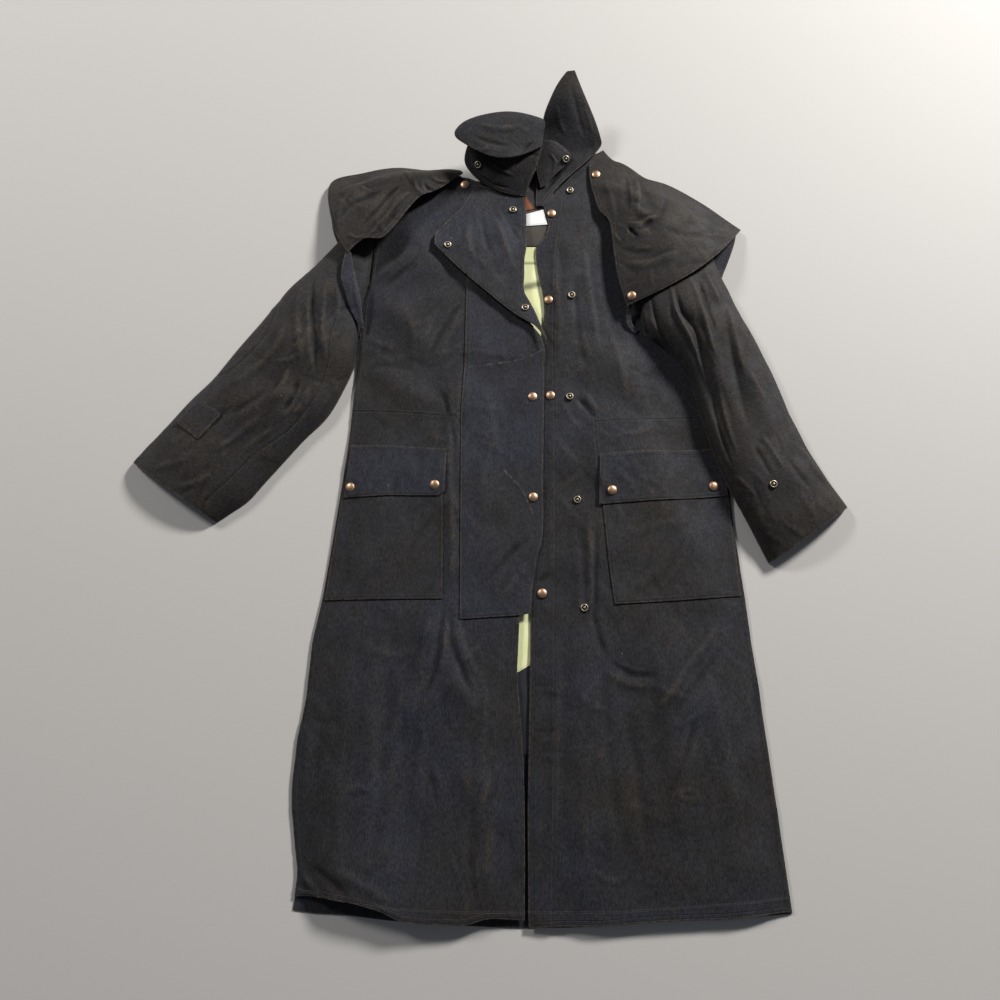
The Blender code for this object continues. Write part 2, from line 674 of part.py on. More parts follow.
def between(sections, position, column):
    """Value of a section column at a position along the table, by a smooth curve through its rows."""
    k = SECTION_COLUMNS.index(column)
    low = min(int(position), len(sections) - 2)
    t = position - low
    before = sections[max(low - 1, 0)][k]
    start = sections[low][k]
    end = sections[low + 1][k]
    after = sections[min(low + 2, len(sections) - 1)][k]
    slope_in = 0.5 * (end - before)
    slope_out = 0.5 * (after - start)
    square = t * t
    cube = square * t
    return ((2 * cube - 3 * square + 1) * start + (cube - 2 * square + t) * slope_in
            + (3 * square - 2 * cube) * end + (cube - square) * slope_out)


def straight(sections, position, column):
    """Value of a section column at a position along the table, in straight runs."""
    k = SECTION_COLUMNS.index(column)
    low = min(int(position), len(sections) - 2)
    t = position - low
    return sections[low][k] * (1.0 - t) + sections[low + 1][k] * t


def sleeve_point(sections, folds, edge_height, position, angle):
    """Point of a top sleeve's outer face, in millimetres: an arch from its outer seam to its inner one."""
    x1 = straight(sections, position, "x1")
    y1 = straight(sections, position, "y1")
    x2 = straight(sections, position, "x2")
    y2 = straight(sections, position, "y2")
    crown = straight(sections, position, "rise")
    across = 0.5 - 0.5 * math.cos(angle)
    x = x1 + (x2 - x1) * across
    y = y1 + (y2 - y1) * across
    base = edge_height(x1, y1) * (1.0 - across) + edge_height(x2, y2) * across
    arch = max(0.0, math.sin(angle))
    z = base + STEP + crown * arch ** 0.85 + fold_height(folds, x, y) * arch
    return x, y, max(z, base + STEP)


def top_sleeve(name, sections, folds, edge_height, rows):
    """Upper half of a sleeve, hollow below, with its seams on the under sleeve's border."""
    grid = []
    for i in range(rows + 1):
        position = (len(sections) - 1) * i / rows
        line = []
        for j in range(SLEEVE_COLUMNS + 1):
            point = sleeve_point(sections, folds, edge_height, position, math.pi * j / SLEEVE_COLUMNS)
            line.append(place(*point))
        grid.append(line)
    return grid_wall(name, grid, level_sides=True)


def under_sleeve(name, sections, height):
    """Lower half of a sleeve, cut to the same seams."""
    outline = [(row[0], row[1]) for row in sections]
    outline += [(row[3], row[4]) for row in reversed(sections)]
    return net_wall(name, cloth_net({name: outline}, 42.0, []), height)


def bent_sheet(name, sections, rows, columns, folds=()):
    """Sheet of cloth through its sections, with bow in plan, rise between its ends and folds."""
    grid = []
    for i in range(rows + 1):
        position = (len(sections) - 1) * i / rows
        x1, y1, z1, x2, y2, z2, bow, rise = (between(sections, position, c) for c in SECTION_COLUMNS)
        length = math.hypot(x2 - x1, y2 - y1)
        side_x = (y2 - y1) / length
        side_y = -(x2 - x1) / length
        if side_y > 0.0:
            side_x = -side_x
            side_y = -side_y
        line = []
        for j in range(columns + 1):
            t = j / columns
            hump = math.sin(math.pi * t)
            x = x1 + (x2 - x1) * t + side_x * bow * hump
            y = y1 + (y2 - y1) * t + side_y * bow * hump
            z = z1 + (z2 - z1) * t + rise * hump + fold_height(folds, x, y)
            line.append(place(x, y, z))
        grid.append(line)
    return grid_wall(name, grid)


def surface_below(trees, x, y):
    """Height of the highest surface of several pieces under a point, or the floor beside them."""
    height = 0.0
    for tree in trees:
        hit = tree.ray_cast(Vector((x, y, 1.0)), Vector((0.0, 0.0, -1.0)))[0]
        if hit:
            height = max(height, hit.z)
    return height


def edge_points(piece):
    """Points along every edge of a piece."""
    points = []
    for edge in piece.data.edges:
        start, end = (piece.data.vertices[k].co for k in edge.vertices)
        points += [start.lerp(end, t) for t in (0.0, 0.25, 0.5, 0.75)]
    return points


def lay_on(piece, carriers):
    """Lower or raise a piece until it lies the seat gap above what carries it."""
    depsgraph = bpy.context.evaluated_depsgraph_get()
    below = [BVHTree.FromObject(carrier, depsgraph) for carrier in carriers]
    above = BVHTree.FromObject(piece, depsgraph)
    room = []
    for point in edge_points(piece):
        room.append(point.z - surface_below(below, point.x, point.y))
    for carrier, tree in zip(carriers, below):
        for point in edge_points(carrier):
            hit = above.ray_cast(Vector((point.x, point.y, -1.0)), Vector((0.0, 0.0, 1.0)))[0]
            if hit:
                room.append(hit.z - max(point.z, surface_below([tree], point.x, point.y)))
    drop = min(room) - SEAT_GAP * MM
    for vertex in piece.data.vertices:
        vertex.co.z -= drop
    piece.data.update()


def cuff_tab(name):
    """Strap on the right cuff: a patch of the sleeve's own points, moved out."""
    grid = []
    for position in CUFF_TAB_ALONG:
        line = []
        for column in CUFF_TAB_ACROSS:
            angle = math.pi * column / SLEEVE_COLUMNS
            point = sleeve_point(RIGHT_SLEEVE, RIGHT_SLEEVE_FOLDS, right_under_sleeve_height, position, angle)
            x, y, z = point
            line.append(place(x, y, z + STEP + 2.5 * GAP))
        grid.append(line)
    return grid_wall(name, grid)


def turned(name, profile, sides, finish):
    """Round piece turned about Z from a profile of (radius, height), with flat ends."""
    vertices = []
    for radius, z in profile:
        for k in range(sides):
            angle = 2.0 * math.pi * k / sides
            vertices.append(Vector((radius * math.cos(angle), radius * math.sin(angle), z)) * MM)
    faces = []
    for ring in range(len(profile) - 1):
        for k in range(sides):
            a = ring * sides + k
            b = ring * sides + (k + 1) % sides
            faces.append((a, b, b + sides, a + sides))
    last = (len(profile) - 1) * sides
    faces.append(tuple(reversed(range(sides))))
    faces.append(tuple(range(last, last + sides)))
    return make_object(name, vertices, faces, finish)


def snap(row, panels):
    """Snap cap or ring stud, seated on its panel and turned to the panel's slope."""
    fields = dict(zip(SNAP_COLUMNS, row))
    panel = panels[fields["panel"]]
    tree = BVHTree.FromObject(panel, bpy.context.evaluated_depsgraph_get())
    radius = CAP_RADIUS if fields["kind"] == "cap" else STUD_RADIUS
    centre = place(fields["x"], fields["y"], 0.0)

    def surface(dx, dy):
        """The panel's top below a point beside the snap's middle."""
        start = centre + Vector((dx * MM, dy * MM, 1.0))
        return tree.ray_cast(start, Vector((0.0, 0.0, -1.0)))[0]

    reach = radius * 0.8
    east = surface(reach, 0.0)
    west = surface(-reach, 0.0)
    north = surface(0.0, reach)
    south = surface(0.0, -reach)
    middle = surface(0.0, 0.0)
    across = east - west if east and west else Vector((1.0, 0.0, 0.0))
    along = north - south if north and south else Vector((0.0, 1.0, 0.0))
    normal = across.cross(along).normalized()
    height = 0.0
    for ring in (0.35, 0.7, 1.0):
        for k in range(12):
            angle = math.pi * k / 6.0
            hit = surface(radius * ring * math.cos(angle), radius * ring * math.sin(angle))
            if hit:
                height = max(height, (hit - middle).dot(normal))
    if fields["kind"] == "cap":
        profile = [(CAP_RADIUS, 0.0), (CAP_RADIUS, 1.0), (6.0, 2.4), (2.6, 3.1)]
        made = turned(fields["name"], profile, 10, "copper_cap")
    else:
        profile = [(STUD_RADIUS, 0.0), (STUD_RADIUS, 1.2), (4.6, 1.8), (3.2, 1.0), (1.8, 2.6)]
        made = turned(fields["name"], profile, 10, "brass_stud")
    made.rotation_mode = "QUATERNION"
    made.rotation_quaternion = Vector((0.0, 0.0, 1.0)).rotation_difference(normal)
    made.location = middle + normal * (height + GAP * MM)
    return made


def build_floor_layer():
    """Back, the cape's back half and what shows inside the open front."""
    back_outline = (BACK_HEM + RIGHT_SIDE[1:] + RIGHT_ARMHOLE + RIGHT_SHOULDER + BACK_NECK
                    + LEFT_SHOULDER[::-1] + LEFT_ARMHOLE[::-1] + LEFT_SIDE[:0:-1] + BACK_HEM_LEFT)
    flat_piece("lining_pale", PALE_LINING, lining_height, LINING, "pale_lining", 60.0)
    flat_piece("lining_navy", NAVY_LINING, lining_height, LINING, "navy_lining")
    flat_piece("label_white", WHITE_LABEL, label_height, LINING, "white_label")
    return {
        "cape_back": flat_piece("cape_back", BACK_CAPE, floor_height, CLOTH, "waxed_cotton", 120.0),
        "back": flat_piece("back", back_outline, back_height, CLOTH, "waxed_cotton", 60.0),
        "neck_facing": flat_piece("neck_facing", NECK_FACING, lining_height, LINING, "brown_facing"),
        "label_leather": flat_piece("label_leather", LEATHER_LABEL, label_height, LINING, "leather_label"),
    }


def build_right_front():
    """Right front with its storm flap, gun flap, pocket and pocket flap, all on one net."""
    outlines = {
        "front_right": (RIGHT_HEM + RIGHT_SIDE + RIGHT_ARMHOLE + RIGHT_SHOULDER + RIGHT_NECK
                        + RIGHT_FRONT_EDGE),
        "storm_flap": STORM_FLAP,
        "gun_flap": GUN_FLAP,
        "pocket_right": RIGHT_POCKET,
        "pocket_flap_right": RIGHT_POCKET_FLAP,
    }
    heights = {
        "front_right": right_front_height,
        "storm_flap": storm_flap_height,
        "gun_flap": gun_flap_height,
        "pocket_right": right_pocket_height,
        "pocket_flap_right": right_pocket_flap_height,
    }
    net = cloth_net(outlines, NET_SPACING, RIGHT_FOLDS + STORM_FOLDS + GUN_FOLDS)
    return {name: net_wall(name, net, heights[name]) for name in outlines}


def build_left_front():
    """Left front with its pocket and pocket flap on one net."""
    outlines = {
        "front_left": LEFT_HEM + LEFT_SIDE + LEFT_ARMHOLE + LEFT_SHOULDER + LEFT_NECK + LEFT_FRONT_EDGE,
        "pocket_left": LEFT_POCKET,
        "pocket_flap_left": LEFT_POCKET_FLAP,
    }
    heights = {
        "front_left": left_front_height,
        "pocket_left": left_pocket_height,
        "pocket_flap_left": left_pocket_flap_height,
    }
    net = cloth_net(outlines, NET_SPACING, LEFT_FOLDS)
    return {name: net_wall(name, net, heights[name]) for name in outlines}


def build_sleeves():
    """Both sleeves, each an under and a top half."""
    under_right = under_sleeve("sleeve_under_right", RIGHT_SLEEVE, right_under_sleeve_height)
    under_sleeve("sleeve_under_left", LEFT_SLEEVE, left_under_sleeve_height)
    right = top_sleeve("sleeve_top_right", RIGHT_SLEEVE, RIGHT_SLEEVE_FOLDS, right_under_sleeve_height, 22)
    left = top_sleeve("sleeve_top_left", LEFT_SLEEVE, LEFT_SLEEVE_FOLDS, left_under_sleeve_height, 20)
    cuff_tab("cuff_tab_right")
    return {"sleeve_under_right": under_right, "sleeve_top_right": right, "sleeve_top_left": left}


def build_capes(panels):
    """The cape's two fronts and their straps, laid on the shoulders and sleeves."""
    strap = bent_sheet("cape_strap_right", RIGHT_STRAP, 8, 3)
    lay_on(strap, [panels["sleeve_top_right"], panels["front_right"]])
    right = bent_sheet("cape_right", RIGHT_CAPE, 16, 10, RIGHT_CAPE_FOLDS)
    under = [panels["cape_back"], panels["back"], panels["sleeve_under_right"]]
    lay_on(right, under + [panels["sleeve_top_right"], panels["front_right"], strap])
    loop = bent_sheet("cape_strap_left", LEFT_STRAP, 6, 2)
    lay_on(loop, [panels["sleeve_top_left"], panels["front_left"]])
    left = bent_sheet("cape_left", LEFT_CAPE, 16, 14, LEFT_CAPE_FOLDS)
    lay_on(left, [panels["sleeve_top_left"], panels["front_left"], loop])
    panels["cape_left"] = left


def build_collar(panels):
    """Collar stand, its two leaves and the throat tab, each laid on what it is sewn to."""
    left_leaf = bent_sheet("collar_leaf_left", LEFT_LEAF, 14, 8)
    inside = [panels["back"], panels["neck_facing"], panels["label_leather"]]
    lay_on(left_leaf, inside + [panels["front_left"]])
    stand = bent_sheet("collar_stand_right", RIGHT_STAND, 6, 10)
    lay_on(stand, [panels["front_right"], panels["gun_flap"], left_leaf])
    right_leaf = bent_sheet("collar_leaf_right", RIGHT_LEAF, 7, 12)
    lay_on(right_leaf, [stand, left_leaf])
    tab = bent_sheet("throat_tab", THROAT_TAB, 8, 5)
    lay_on(tab, inside + [left_leaf])
    panels["collar_stand_right"] = stand
    panels["throat_tab"] = tab


def build_coat():
    """All pieces, from the floor up."""
    panels = build_floor_layer()
    panels.update(build_right_front())
    panels.update(build_left_front())
    panels.update(build_sleeves())
    build_capes(panels)
    build_collar(panels)
    for row in SNAPS:
        snap(row, panels)


build_coat()
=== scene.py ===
import math

import bmesh
import bpy
import numpy as np
from mathutils import Matrix, Vector
from mathutils.bvhtree import BVHTree
from mathutils.geometry import delaunay_2d_cdt
from mathutils.kdtree import KDTree


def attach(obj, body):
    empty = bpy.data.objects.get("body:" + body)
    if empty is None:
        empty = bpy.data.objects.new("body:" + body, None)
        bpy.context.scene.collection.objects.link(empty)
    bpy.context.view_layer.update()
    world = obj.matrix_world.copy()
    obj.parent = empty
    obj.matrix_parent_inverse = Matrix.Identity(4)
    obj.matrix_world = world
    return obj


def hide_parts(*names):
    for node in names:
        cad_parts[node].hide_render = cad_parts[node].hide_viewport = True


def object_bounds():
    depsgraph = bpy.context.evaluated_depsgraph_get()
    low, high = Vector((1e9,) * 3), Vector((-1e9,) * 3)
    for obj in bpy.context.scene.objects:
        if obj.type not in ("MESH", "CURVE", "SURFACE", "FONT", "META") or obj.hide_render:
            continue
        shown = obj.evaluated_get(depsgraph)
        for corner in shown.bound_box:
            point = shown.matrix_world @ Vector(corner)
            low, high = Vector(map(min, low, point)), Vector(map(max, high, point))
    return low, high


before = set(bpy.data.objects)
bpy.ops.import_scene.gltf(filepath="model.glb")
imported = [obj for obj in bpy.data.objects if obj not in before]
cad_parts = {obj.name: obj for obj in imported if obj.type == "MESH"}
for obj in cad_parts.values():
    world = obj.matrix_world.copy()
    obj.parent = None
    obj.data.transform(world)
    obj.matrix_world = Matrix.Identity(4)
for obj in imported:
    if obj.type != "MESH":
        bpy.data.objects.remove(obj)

# Duster coat of waxed cotton, laid open on its back on a pale floor.
# Lengths below are millimetres in the coat's own frame: x to the wearer's left, y to the collar, z up.
mm = 0.001
cadLow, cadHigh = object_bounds()
print("frame loaded:", len(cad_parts), "nodes")

# The photo's camera: pixels count from the top left of the 1000 pixel picture
photoView = {
    "pixels": 1000,
    "focal": 755.0,  # pixels
    "sensor": 36.0,
    "height": 1210.0,
    "tilt": math.radians(12.8),  # from straight down, towards the collar
    "overX": 20.0,
    "overY": -338.8,
}


def seenAt(px, py, height=14.0):
    # place on the coat under a pixel of the photo, at a height off the floor
    across = (px - photoView["pixels"] / 2) / photoView["focal"]
    down = (py - photoView["pixels"] / 2) / photoView["focal"]
    lean = photoView["tilt"]
    reach = (photoView["height"] - height) / (math.cos(lean) + down * math.sin(lean))
    return (
        photoView["overX"] + reach * across,
        photoView["overY"] + reach * (math.sin(lean) - down * math.cos(lean)),
    )


def buildCamera():
    lens = bpy.data.cameras.new("photoCamera")
    lens.sensor_width = photoView["sensor"]
    lens.lens = photoView["sensor"] * photoView["focal"] / photoView["pixels"]
    camera = bpy.data.objects.new("photoCamera", lens)
    camera.location = Vector((photoView["overX"], photoView["overY"], photoView["height"])) * mm
    camera.rotation_euler = (photoView["tilt"], 0.0, 0.0)
    bpy.context.scene.collection.objects.link(camera)
    bpy.context.scene.camera = camera


# Plain pale floor and soft light from the upper left and upper right
studio = {
    "floorSide": 9.0,
    "floorTone": (0.55, 0.535, 0.515),
    "worldTone": (0.80, 0.86, 1.0),
    "worldStrength": 0.09,
    "view": "Standard",
    "lamps": (
        # name, place in metres, side in metres, watts, tone
        ("lampLeft", (-3.0, 2.8, 2.6), 0.9, 105.0, (1.0, 0.97, 0.94)),
        ("lampRight", (2.8, 3.0, 2.2), 0.8, 290.0, (1.0, 0.98, 0.95)),
        ("lampFoot", (0.3, -2.6, 2.4), 1.8, 2.0, (0.90, 0.95, 1.0)),
    ),
}


def buildStudio():
    half = studio["floorSide"] / 2
    mesh = bpy.data.meshes.new("floor")
    mesh.from_pydata([(-half, -half, 0), (half, -half, 0), (half, half, 0), (-half, half, 0)], [],
                     [(0, 1, 2, 3)])
    mesh.transform(Matrix.Translation((0, 0, -0.3 * mm)))
    floor = bpy.data.objects.new("floor", mesh)
    bpy.context.scene.collection.objects.link(floor)
    paint = bpy.data.materials.new("paleFloor")
    paint.use_nodes = True
    shader = paint.node_tree.nodes["Principled BSDF"]
    shader.inputs["Base Color"].default_value = (*studio["floorTone"], 1)
    shader.inputs["Roughness"].default_value = 0.75
    mesh.materials.append(paint)
    world = bpy.data.worlds.new("studio")
    world.use_nodes = True
    sky = world.node_tree.nodes["Background"]
    sky.inputs["Color"].default_value = (*studio["worldTone"], 1)
    sky.inputs["Strength"].default_value = studio["worldStrength"]
    bpy.context.scene.world = world
    bpy.context.scene.view_settings.view_transform = studio["view"]
    for name, place, side, watts, tone in studio["lamps"]:
        light = bpy.data.lights.new(name, "AREA")
        light.shape = "DISK"
        light.size = side
        light.energy = watts
        light.color = tone
        lamp = bpy.data.objects.new(name, light)
        lamp.location = place
        lamp.rotation_euler = (-Vector(place)).to_track_quat("-Z", "Y").to_euler()
        bpy.context.scene.collection.objects.link(lamp)


# Node trees, shared by the finishes
class shaderNodes:
    # short way to add shader nodes: each call returns the node's first output
    def __init__(self, name):
        self.material = bpy.data.materials.new(name)
        self.material.use_nodes = True
        self.tree = self.material.node_tree
        self.shader = self.tree.nodes["Principled BSDF"]

    def put(self, node, socket, value):
        if isinstance(value, bpy.types.NodeSocket):
            self.tree.links.new(value, node.inputs[socket])
        else:
            node.inputs[socket].default_value = value

    def add(self, kind, inputs=(), **settings):
        node = self.tree.nodes.new(kind)
        for key, value in settings.items():
            setattr(node, key, value)
        for socket, value in dict(inputs).items():
            self.put(node, socket, value)
        return node

    def math(self, operation, a, b=0.0, c=0.0):
        return self.add("ShaderNodeMath", {0: a, 1: b, 2: c}, operation=operation).outputs[0]

    def span(self, value, low, high, toLow=0.0, toHigh=1.0, smooth=True):
        kind = "SMOOTHSTEP" if smooth else "LINEAR"
        inputs = {"Value": value, "From Min": low, "From Max": high, "To Min": toLow, "To Max": toHigh}
        return self.add("ShaderNodeMapRange", inputs, interpolation_type=kind).outputs[0]

    def noise(self, coords, scale, detail=4.0, rough=0.55, stretch=None, distortion=0.0):
        if stretch:
            coords = self.add("ShaderNodeMapping", {"Vector": coords, "Scale": stretch}).outputs[0]
        inputs = {"Vector": coords, "Scale": scale, "Detail": detail, "Roughness": rough,
                  "Distortion": distortion}
        return self.add("ShaderNodeTexNoise", inputs).outputs[0]

    def blend(self, share, a, b, kind="MIX"):
        node = self.add("ShaderNodeMix", data_type="RGBA", blend_type=kind)
        self.put(node, 0, share)
        self.put(node, 6, a)
        self.put(node, 7, b)
        return node.outputs[2]

    def attribute(self, name, output="Fac"):
        return self.add("ShaderNodeAttribute", attribute_name=name).outputs[output]

    def bump(self, height, distance, strength=1.0, normal=None):
        node = self.add("ShaderNodeBump", {"Height": height, "Distance": distance, "Strength": strength})
        if normal:
            self.put(node, "Normal", normal)
        return node.outputs[0]

    def finish(self, **values):
        for key, value in values.items():
            self.put(self.shader, key.replace("_", " "), value)
        return self.material


# Waxed cotton: brown-black with navy where the wax is fresh, paler where it has rubbed off
waxed = {
    "navy": (0.0215, 0.0242, 0.0350, 1),
    "brown": (0.0200, 0.0172, 0.0150, 1),
    "shadeAndSeamDark": (0.0030, 0.0031, 0.0036, 1),  # painted shade in hollows, and dark stitched channels
    "worn": (0.058, 0.047, 0.038, 1),
    "chalk": (0.17, 0.16, 0.155, 1),
    "lint": (0.34, 0.32, 0.30, 1),
    "patch": 5.0,  # navy and brown patches per metre
    "speckle": 430.0,  # threads that stand out, per metre
    "weave": 1250.0,  # threads per metre as drawn
    "weaveDepth": 0.00006,
    "crumpleDepth": 0.0014,
    "roughness": (0.66, 0.82),
    "sheen": 0.07,
}


def waxedCotton():
    n = shaderNodes("waxedCotton")
    place = n.add("ShaderNodeTexCoord").outputs["Object"]
    grain = n.attribute("grain", "Vector")
    wearAndShade = n.attribute("wearAndShade")
    edge = n.attribute("edge")
    seam = n.attribute("seam")
    patches = n.noise(place, waxed["patch"], 5.0, 0.62)
    fine = n.noise(place, 34.0, 5.0, 0.65)
    grime = n.noise(place, 160.0, 3.0, 0.7)
    speckle = n.noise(grain, waxed["speckle"], 2.0, 0.6, (1.0, 0.4, 1.0))
    drift = n.math("ADD", n.math("MULTIPLY", fine, 0.35), n.math("SUBTRACT", patches, 0.175))
    brownShare = n.span(n.math("ADD", drift, n.math("MULTIPLY", n.attribute("tone"), 0.5)), 0.40, 0.95)
    colour = n.blend(brownShare, waxed["navy"], waxed["brown"])
    # crests and edges rub pale where the wax wears off; hollows of creases are painted dark as shade
    crest = n.math("MULTIPLY", n.math("MAXIMUM", wearAndShade, 0.0), n.span(fine, 0.34, 0.62, 0.0, 0.55))
    rubbed = n.math("MULTIPLY", n.span(edge, 0.3, 3.4, 0.85, 0.0), n.span(grime, 0.30, 0.58))
    colour = n.blend(n.math("MINIMUM", n.math("ADD", crest, rubbed), 0.9), colour, waxed["worn"])
    # painted shade: hollows darken with their curvature
    creaseShade = n.math("MAXIMUM", n.math("MULTIPLY", wearAndShade, -1.0), 0.0)
    colour = n.blend(n.math("MULTIPLY", creaseShade, 0.65), colour, waxed["shadeAndSeamDark"])
    # painted shade: darkening from the pieces' shade field
    colour = n.blend(n.attribute("shade"), colour, waxed["shadeAndSeamDark"])
    # a dark channel where the stitches run
    rows = n.math("ADD", n.span(n.math("ABSOLUTE", n.math("SUBTRACT", edge, 2.2)), 0.0, 0.9, 1.0, 0.0),
                  n.span(n.math("ABSOLUTE", n.math("SUBTRACT", edge, 8.2)), 0.0, 0.9, 1.0, 0.0))
    rows = n.math("MULTIPLY", rows, n.attribute("rows"))
    channel = n.math("MAXIMUM", rows, n.span(seam, 0.0, 1.5, 1.0, 0.0))
    colour = n.blend(n.math("MULTIPLY", channel, 0.40), colour, waxed["shadeAndSeamDark"])
    # chalky crease lines, lint and specks
    scuff = n.math("POWER", n.attribute("scuff"), 4.0)
    scuff = n.math("MULTIPLY", scuff, n.span(grime, 0.35, 0.6, 0.04, 0.42))
    colour = n.blend(scuff, colour, waxed["chalk"])
    specks = n.add("ShaderNodeTexVoronoi", {"Vector": place, "Scale": 62.0, "Randomness": 1.0})
    dot = n.span(specks.outputs["Distance"], 0.02, 0.06, 0.8, 0.0)
    chosen = n.add("ShaderNodeSeparateColor", {"Color": specks.outputs["Color"]}).outputs[0]
    dot = n.math("MULTIPLY", dot, n.math("GREATER_THAN", chosen, 0.95))
    colour = n.blend(dot, colour, waxed["lint"])
    lift = n.math("ADD", n.span(speckle, 0.3, 0.7, 0.40, 1.35, False),
                  n.span(grime, 0.3, 0.7, -0.05, 0.35, False))
    tint = n.add("ShaderNodeCombineColor", {0: lift, 1: lift, 2: lift}).outputs[0]
    colour = n.blend(1.0, colour, tint, "MULTIPLY")
    smooth, rough = waxed["roughness"]
    roughness = n.span(fine, 0.3, 0.7, smooth, rough)
    # relief: weave, standing threads, small crumples, stitched channels and their puckers
    split = n.add("ShaderNodeSeparateXYZ", {"Vector": grain})
    warp = n.math("SINE", n.math("MULTIPLY", split.outputs[0], waxed["weave"] * math.tau / 2))
    weft = n.math("SINE", n.math("MULTIPLY", split.outputs[1], waxed["weave"] * math.tau / 2))
    normal = n.bump(n.math("MULTIPLY", warp, weft), waxed["weaveDepth"], 0.5)
    normal = n.bump(speckle, waxed["weaveDepth"] * 6, 0.5, normal)
    crumple = n.noise(grain, 75.0, 4.0, 0.6, (1.0, 0.55, 1.0), 0.6)
    crumple = n.math("ADD", crumple, n.math("MULTIPLY", grime, 0.3))
    normal = n.bump(crumple, waxed["crumpleDepth"], 0.5, normal)
    nearSeam = n.math("ADD", n.span(edge, 0.0, 14.0, 0.8, 0.0), n.span(seam, 0.0, 12.0, 1.0, 0.0))
    pucker = n.math("MULTIPLY", n.noise(grain, 190.0, 2.0), nearSeam)
    normal = n.bump(n.math("SUBTRACT", pucker, n.math("MULTIPLY", channel, 0.8)), 0.0005, 0.8, normal)
    return n.finish(
        Base_Color=colour, Roughness=roughness, Normal=normal,
        Sheen_Weight=waxed["sheen"], Sheen_Roughness=0.45,
        Sheen_Tint=(0.55, 0.58, 0.68, 1), Specular_IOR_Level=0.22,
    )


# Linings and labels that show inside the open front
clothFinishes = {
    # name: tone, second tone, roughness, weave per metre
    "paleLining": ((0.82, 0.85, 0.44, 1), (0.86, 0.88, 0.52, 1), 0.8, 900.0),
    "navyLining": ((0.0045, 0.0055, 0.012, 1), (0.008, 0.009, 0.018, 1), 0.7, 1100.0),
    "brownFacing": ((0.040, 0.034, 0.027, 1), (0.056, 0.047, 0.037, 1), 0.8, 900.0),
    "leatherLabel": ((0.33, 0.105, 0.028, 1), (0.22, 0.065, 0.018, 1), 0.5, 400.0),
    "whiteLabel": ((0.92, 0.92, 0.92, 1), (0.88, 0.88, 0.88, 1), 0.55, 1500.0),
}


def plainCloth(name):
    first, second, roughness, weave = clothFinishes[name]
    n = shaderNodes(name)
    place = n.add("ShaderNodeTexCoord").outputs["Object"]
    cloud = n.noise(place, 26.0, 4.0, 0.6)
    colour = n.blend(n.span(cloud, 0.35, 0.65), first, second)
    edge = n.attribute("edge")
    row = n.span(n.math("ABSOLUTE", n.math("SUBTRACT", edge, 2.2)), 0.2, 0.9, 0.4, 0.0)
    colour = n.blend(row, colour, n.blend(1.0, colour, (0.45, 0.42, 0.38, 1), "MULTIPLY"))
    # dark binding, and painted shadow on the pale lining and the leather label
    bindingAndShadow = n.attribute("bindingAndShadow")
    colour = n.blend(bindingAndShadow, colour, (0.012, 0.011, 0.012, 1))
    split = n.add("ShaderNodeSeparateXYZ", {"Vector": place})
    warp = n.math("SINE", n.math("MULTIPLY", split.outputs[0], weave * math.tau / 2))
    weft = n.math("SINE", n.math("MULTIPLY", split.outputs[1], weave * math.tau / 2))
    normal = n.bump(n.math("MULTIPLY", warp, weft), 0.00008, 0.6)
    normal = n.bump(cloud, 0.0012, 0.5, normal)
    return n.finish(Base_Color=colour, Roughness=roughness, Normal=normal, Sheen_Weight=0.1)


# Snap metals: worn copper, aged brass with its socket painted near black as shade, and thread
metals = {
    "copperCap": ((0.60, 0.40, 0.26, 1), (0.36, 0.20, 0.12, 1), 0.42),
    "brassStud": ((0.52, 0.46, 0.34, 1), (0.05, 0.04, 0.03, 1), 0.40),
}


def snapMetal(name):
    bright, agedAndShaded, roughness = metals[name]
    n = shaderNodes(name)
    place = n.add("ShaderNodeTexCoord").outputs["Object"]
    cloud = n.noise(place, 420.0, 3.0, 0.6)
    ageAndShade = n.attribute("ageAndShade")
    share = n.math("MINIMUM", n.math("ADD", n.span(cloud, 0.45, 0.7, 0.0, 0.5), ageAndShade), 1.0)
    normal = n.bump(n.noise(place, 1800.0, 2.0), 0.00005, 0.4)
    return n.finish(
        Base_Color=n.blend(share, bright, agedAndShaded), Metallic=1.0, Normal=normal,
        Roughness=n.span(share, 0.0, 1.0, roughness, roughness + 0.25),
    )


def threadFinish():
    n = shaderNodes("tonalThread")
    place = n.add("ShaderNodeTexCoord").outputs["Object"]
    colour = n.blend(n.noise(place, 900.0, 2.0), (0.050, 0.043, 0.037, 1), (0.105, 0.090, 0.076, 1))
    return n.finish(Base_Color=colour, Roughness=0.6, Sheen_Weight=0.2)


finishes = {"waxedCotton": waxedCotton(), "tonalThread": threadFinish()}
finishes.update({name: plainCloth(name) for name in clothFinishes})
finishes.update({name: snapMetal(name) for name in metals})
buildCamera()
buildStudio()
print("camera, light and", len(finishes), "finishes made")


# Shapes read from the frame: the outer face of each CAD wall
rimTurn = math.cos(math.radians(58.0))  # faces that meet more sharply than this belong to the rim


def outerFace(nodeName):
    # faces reached from the most upward one without crossing the wall's rim
    work = bmesh.new()
    work.from_mesh(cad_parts[nodeName].data)
    bmesh.ops.remove_doubles(work, verts=work.verts, dist=0.02 * mm)
    work.normal_update()
    start = max(work.faces, key=lambda face: face.normal.z)
    kept = {start}
    waiting = [start]
    while waiting:
        face = waiting.pop()
        for edge in face.edges:
            for other in edge.link_faces:
                if other not in kept and face.normal.dot(other.normal) > rimTurn:
                    kept.add(other)
                    waiting.append(other)
    bmesh.ops.delete(work, geom=[face for face in work.faces if face not in kept], context="FACES")
    return work


def borderRing(work):
    # border of an outer face as one ordered run of (x, y), in millimetres
    following = {}
    for edge in work.edges:
        if edge.is_boundary:
            loop = edge.link_loops[0]
            following[loop.vert] = loop.link_loop_next.vert
    start = next(iter(following))
    ring = [start]
    while following[ring[-1]] is not start:
        ring.append(following[ring[-1]])
    return np.array([(vert.co.x / mm, vert.co.y / mm) for vert in ring])


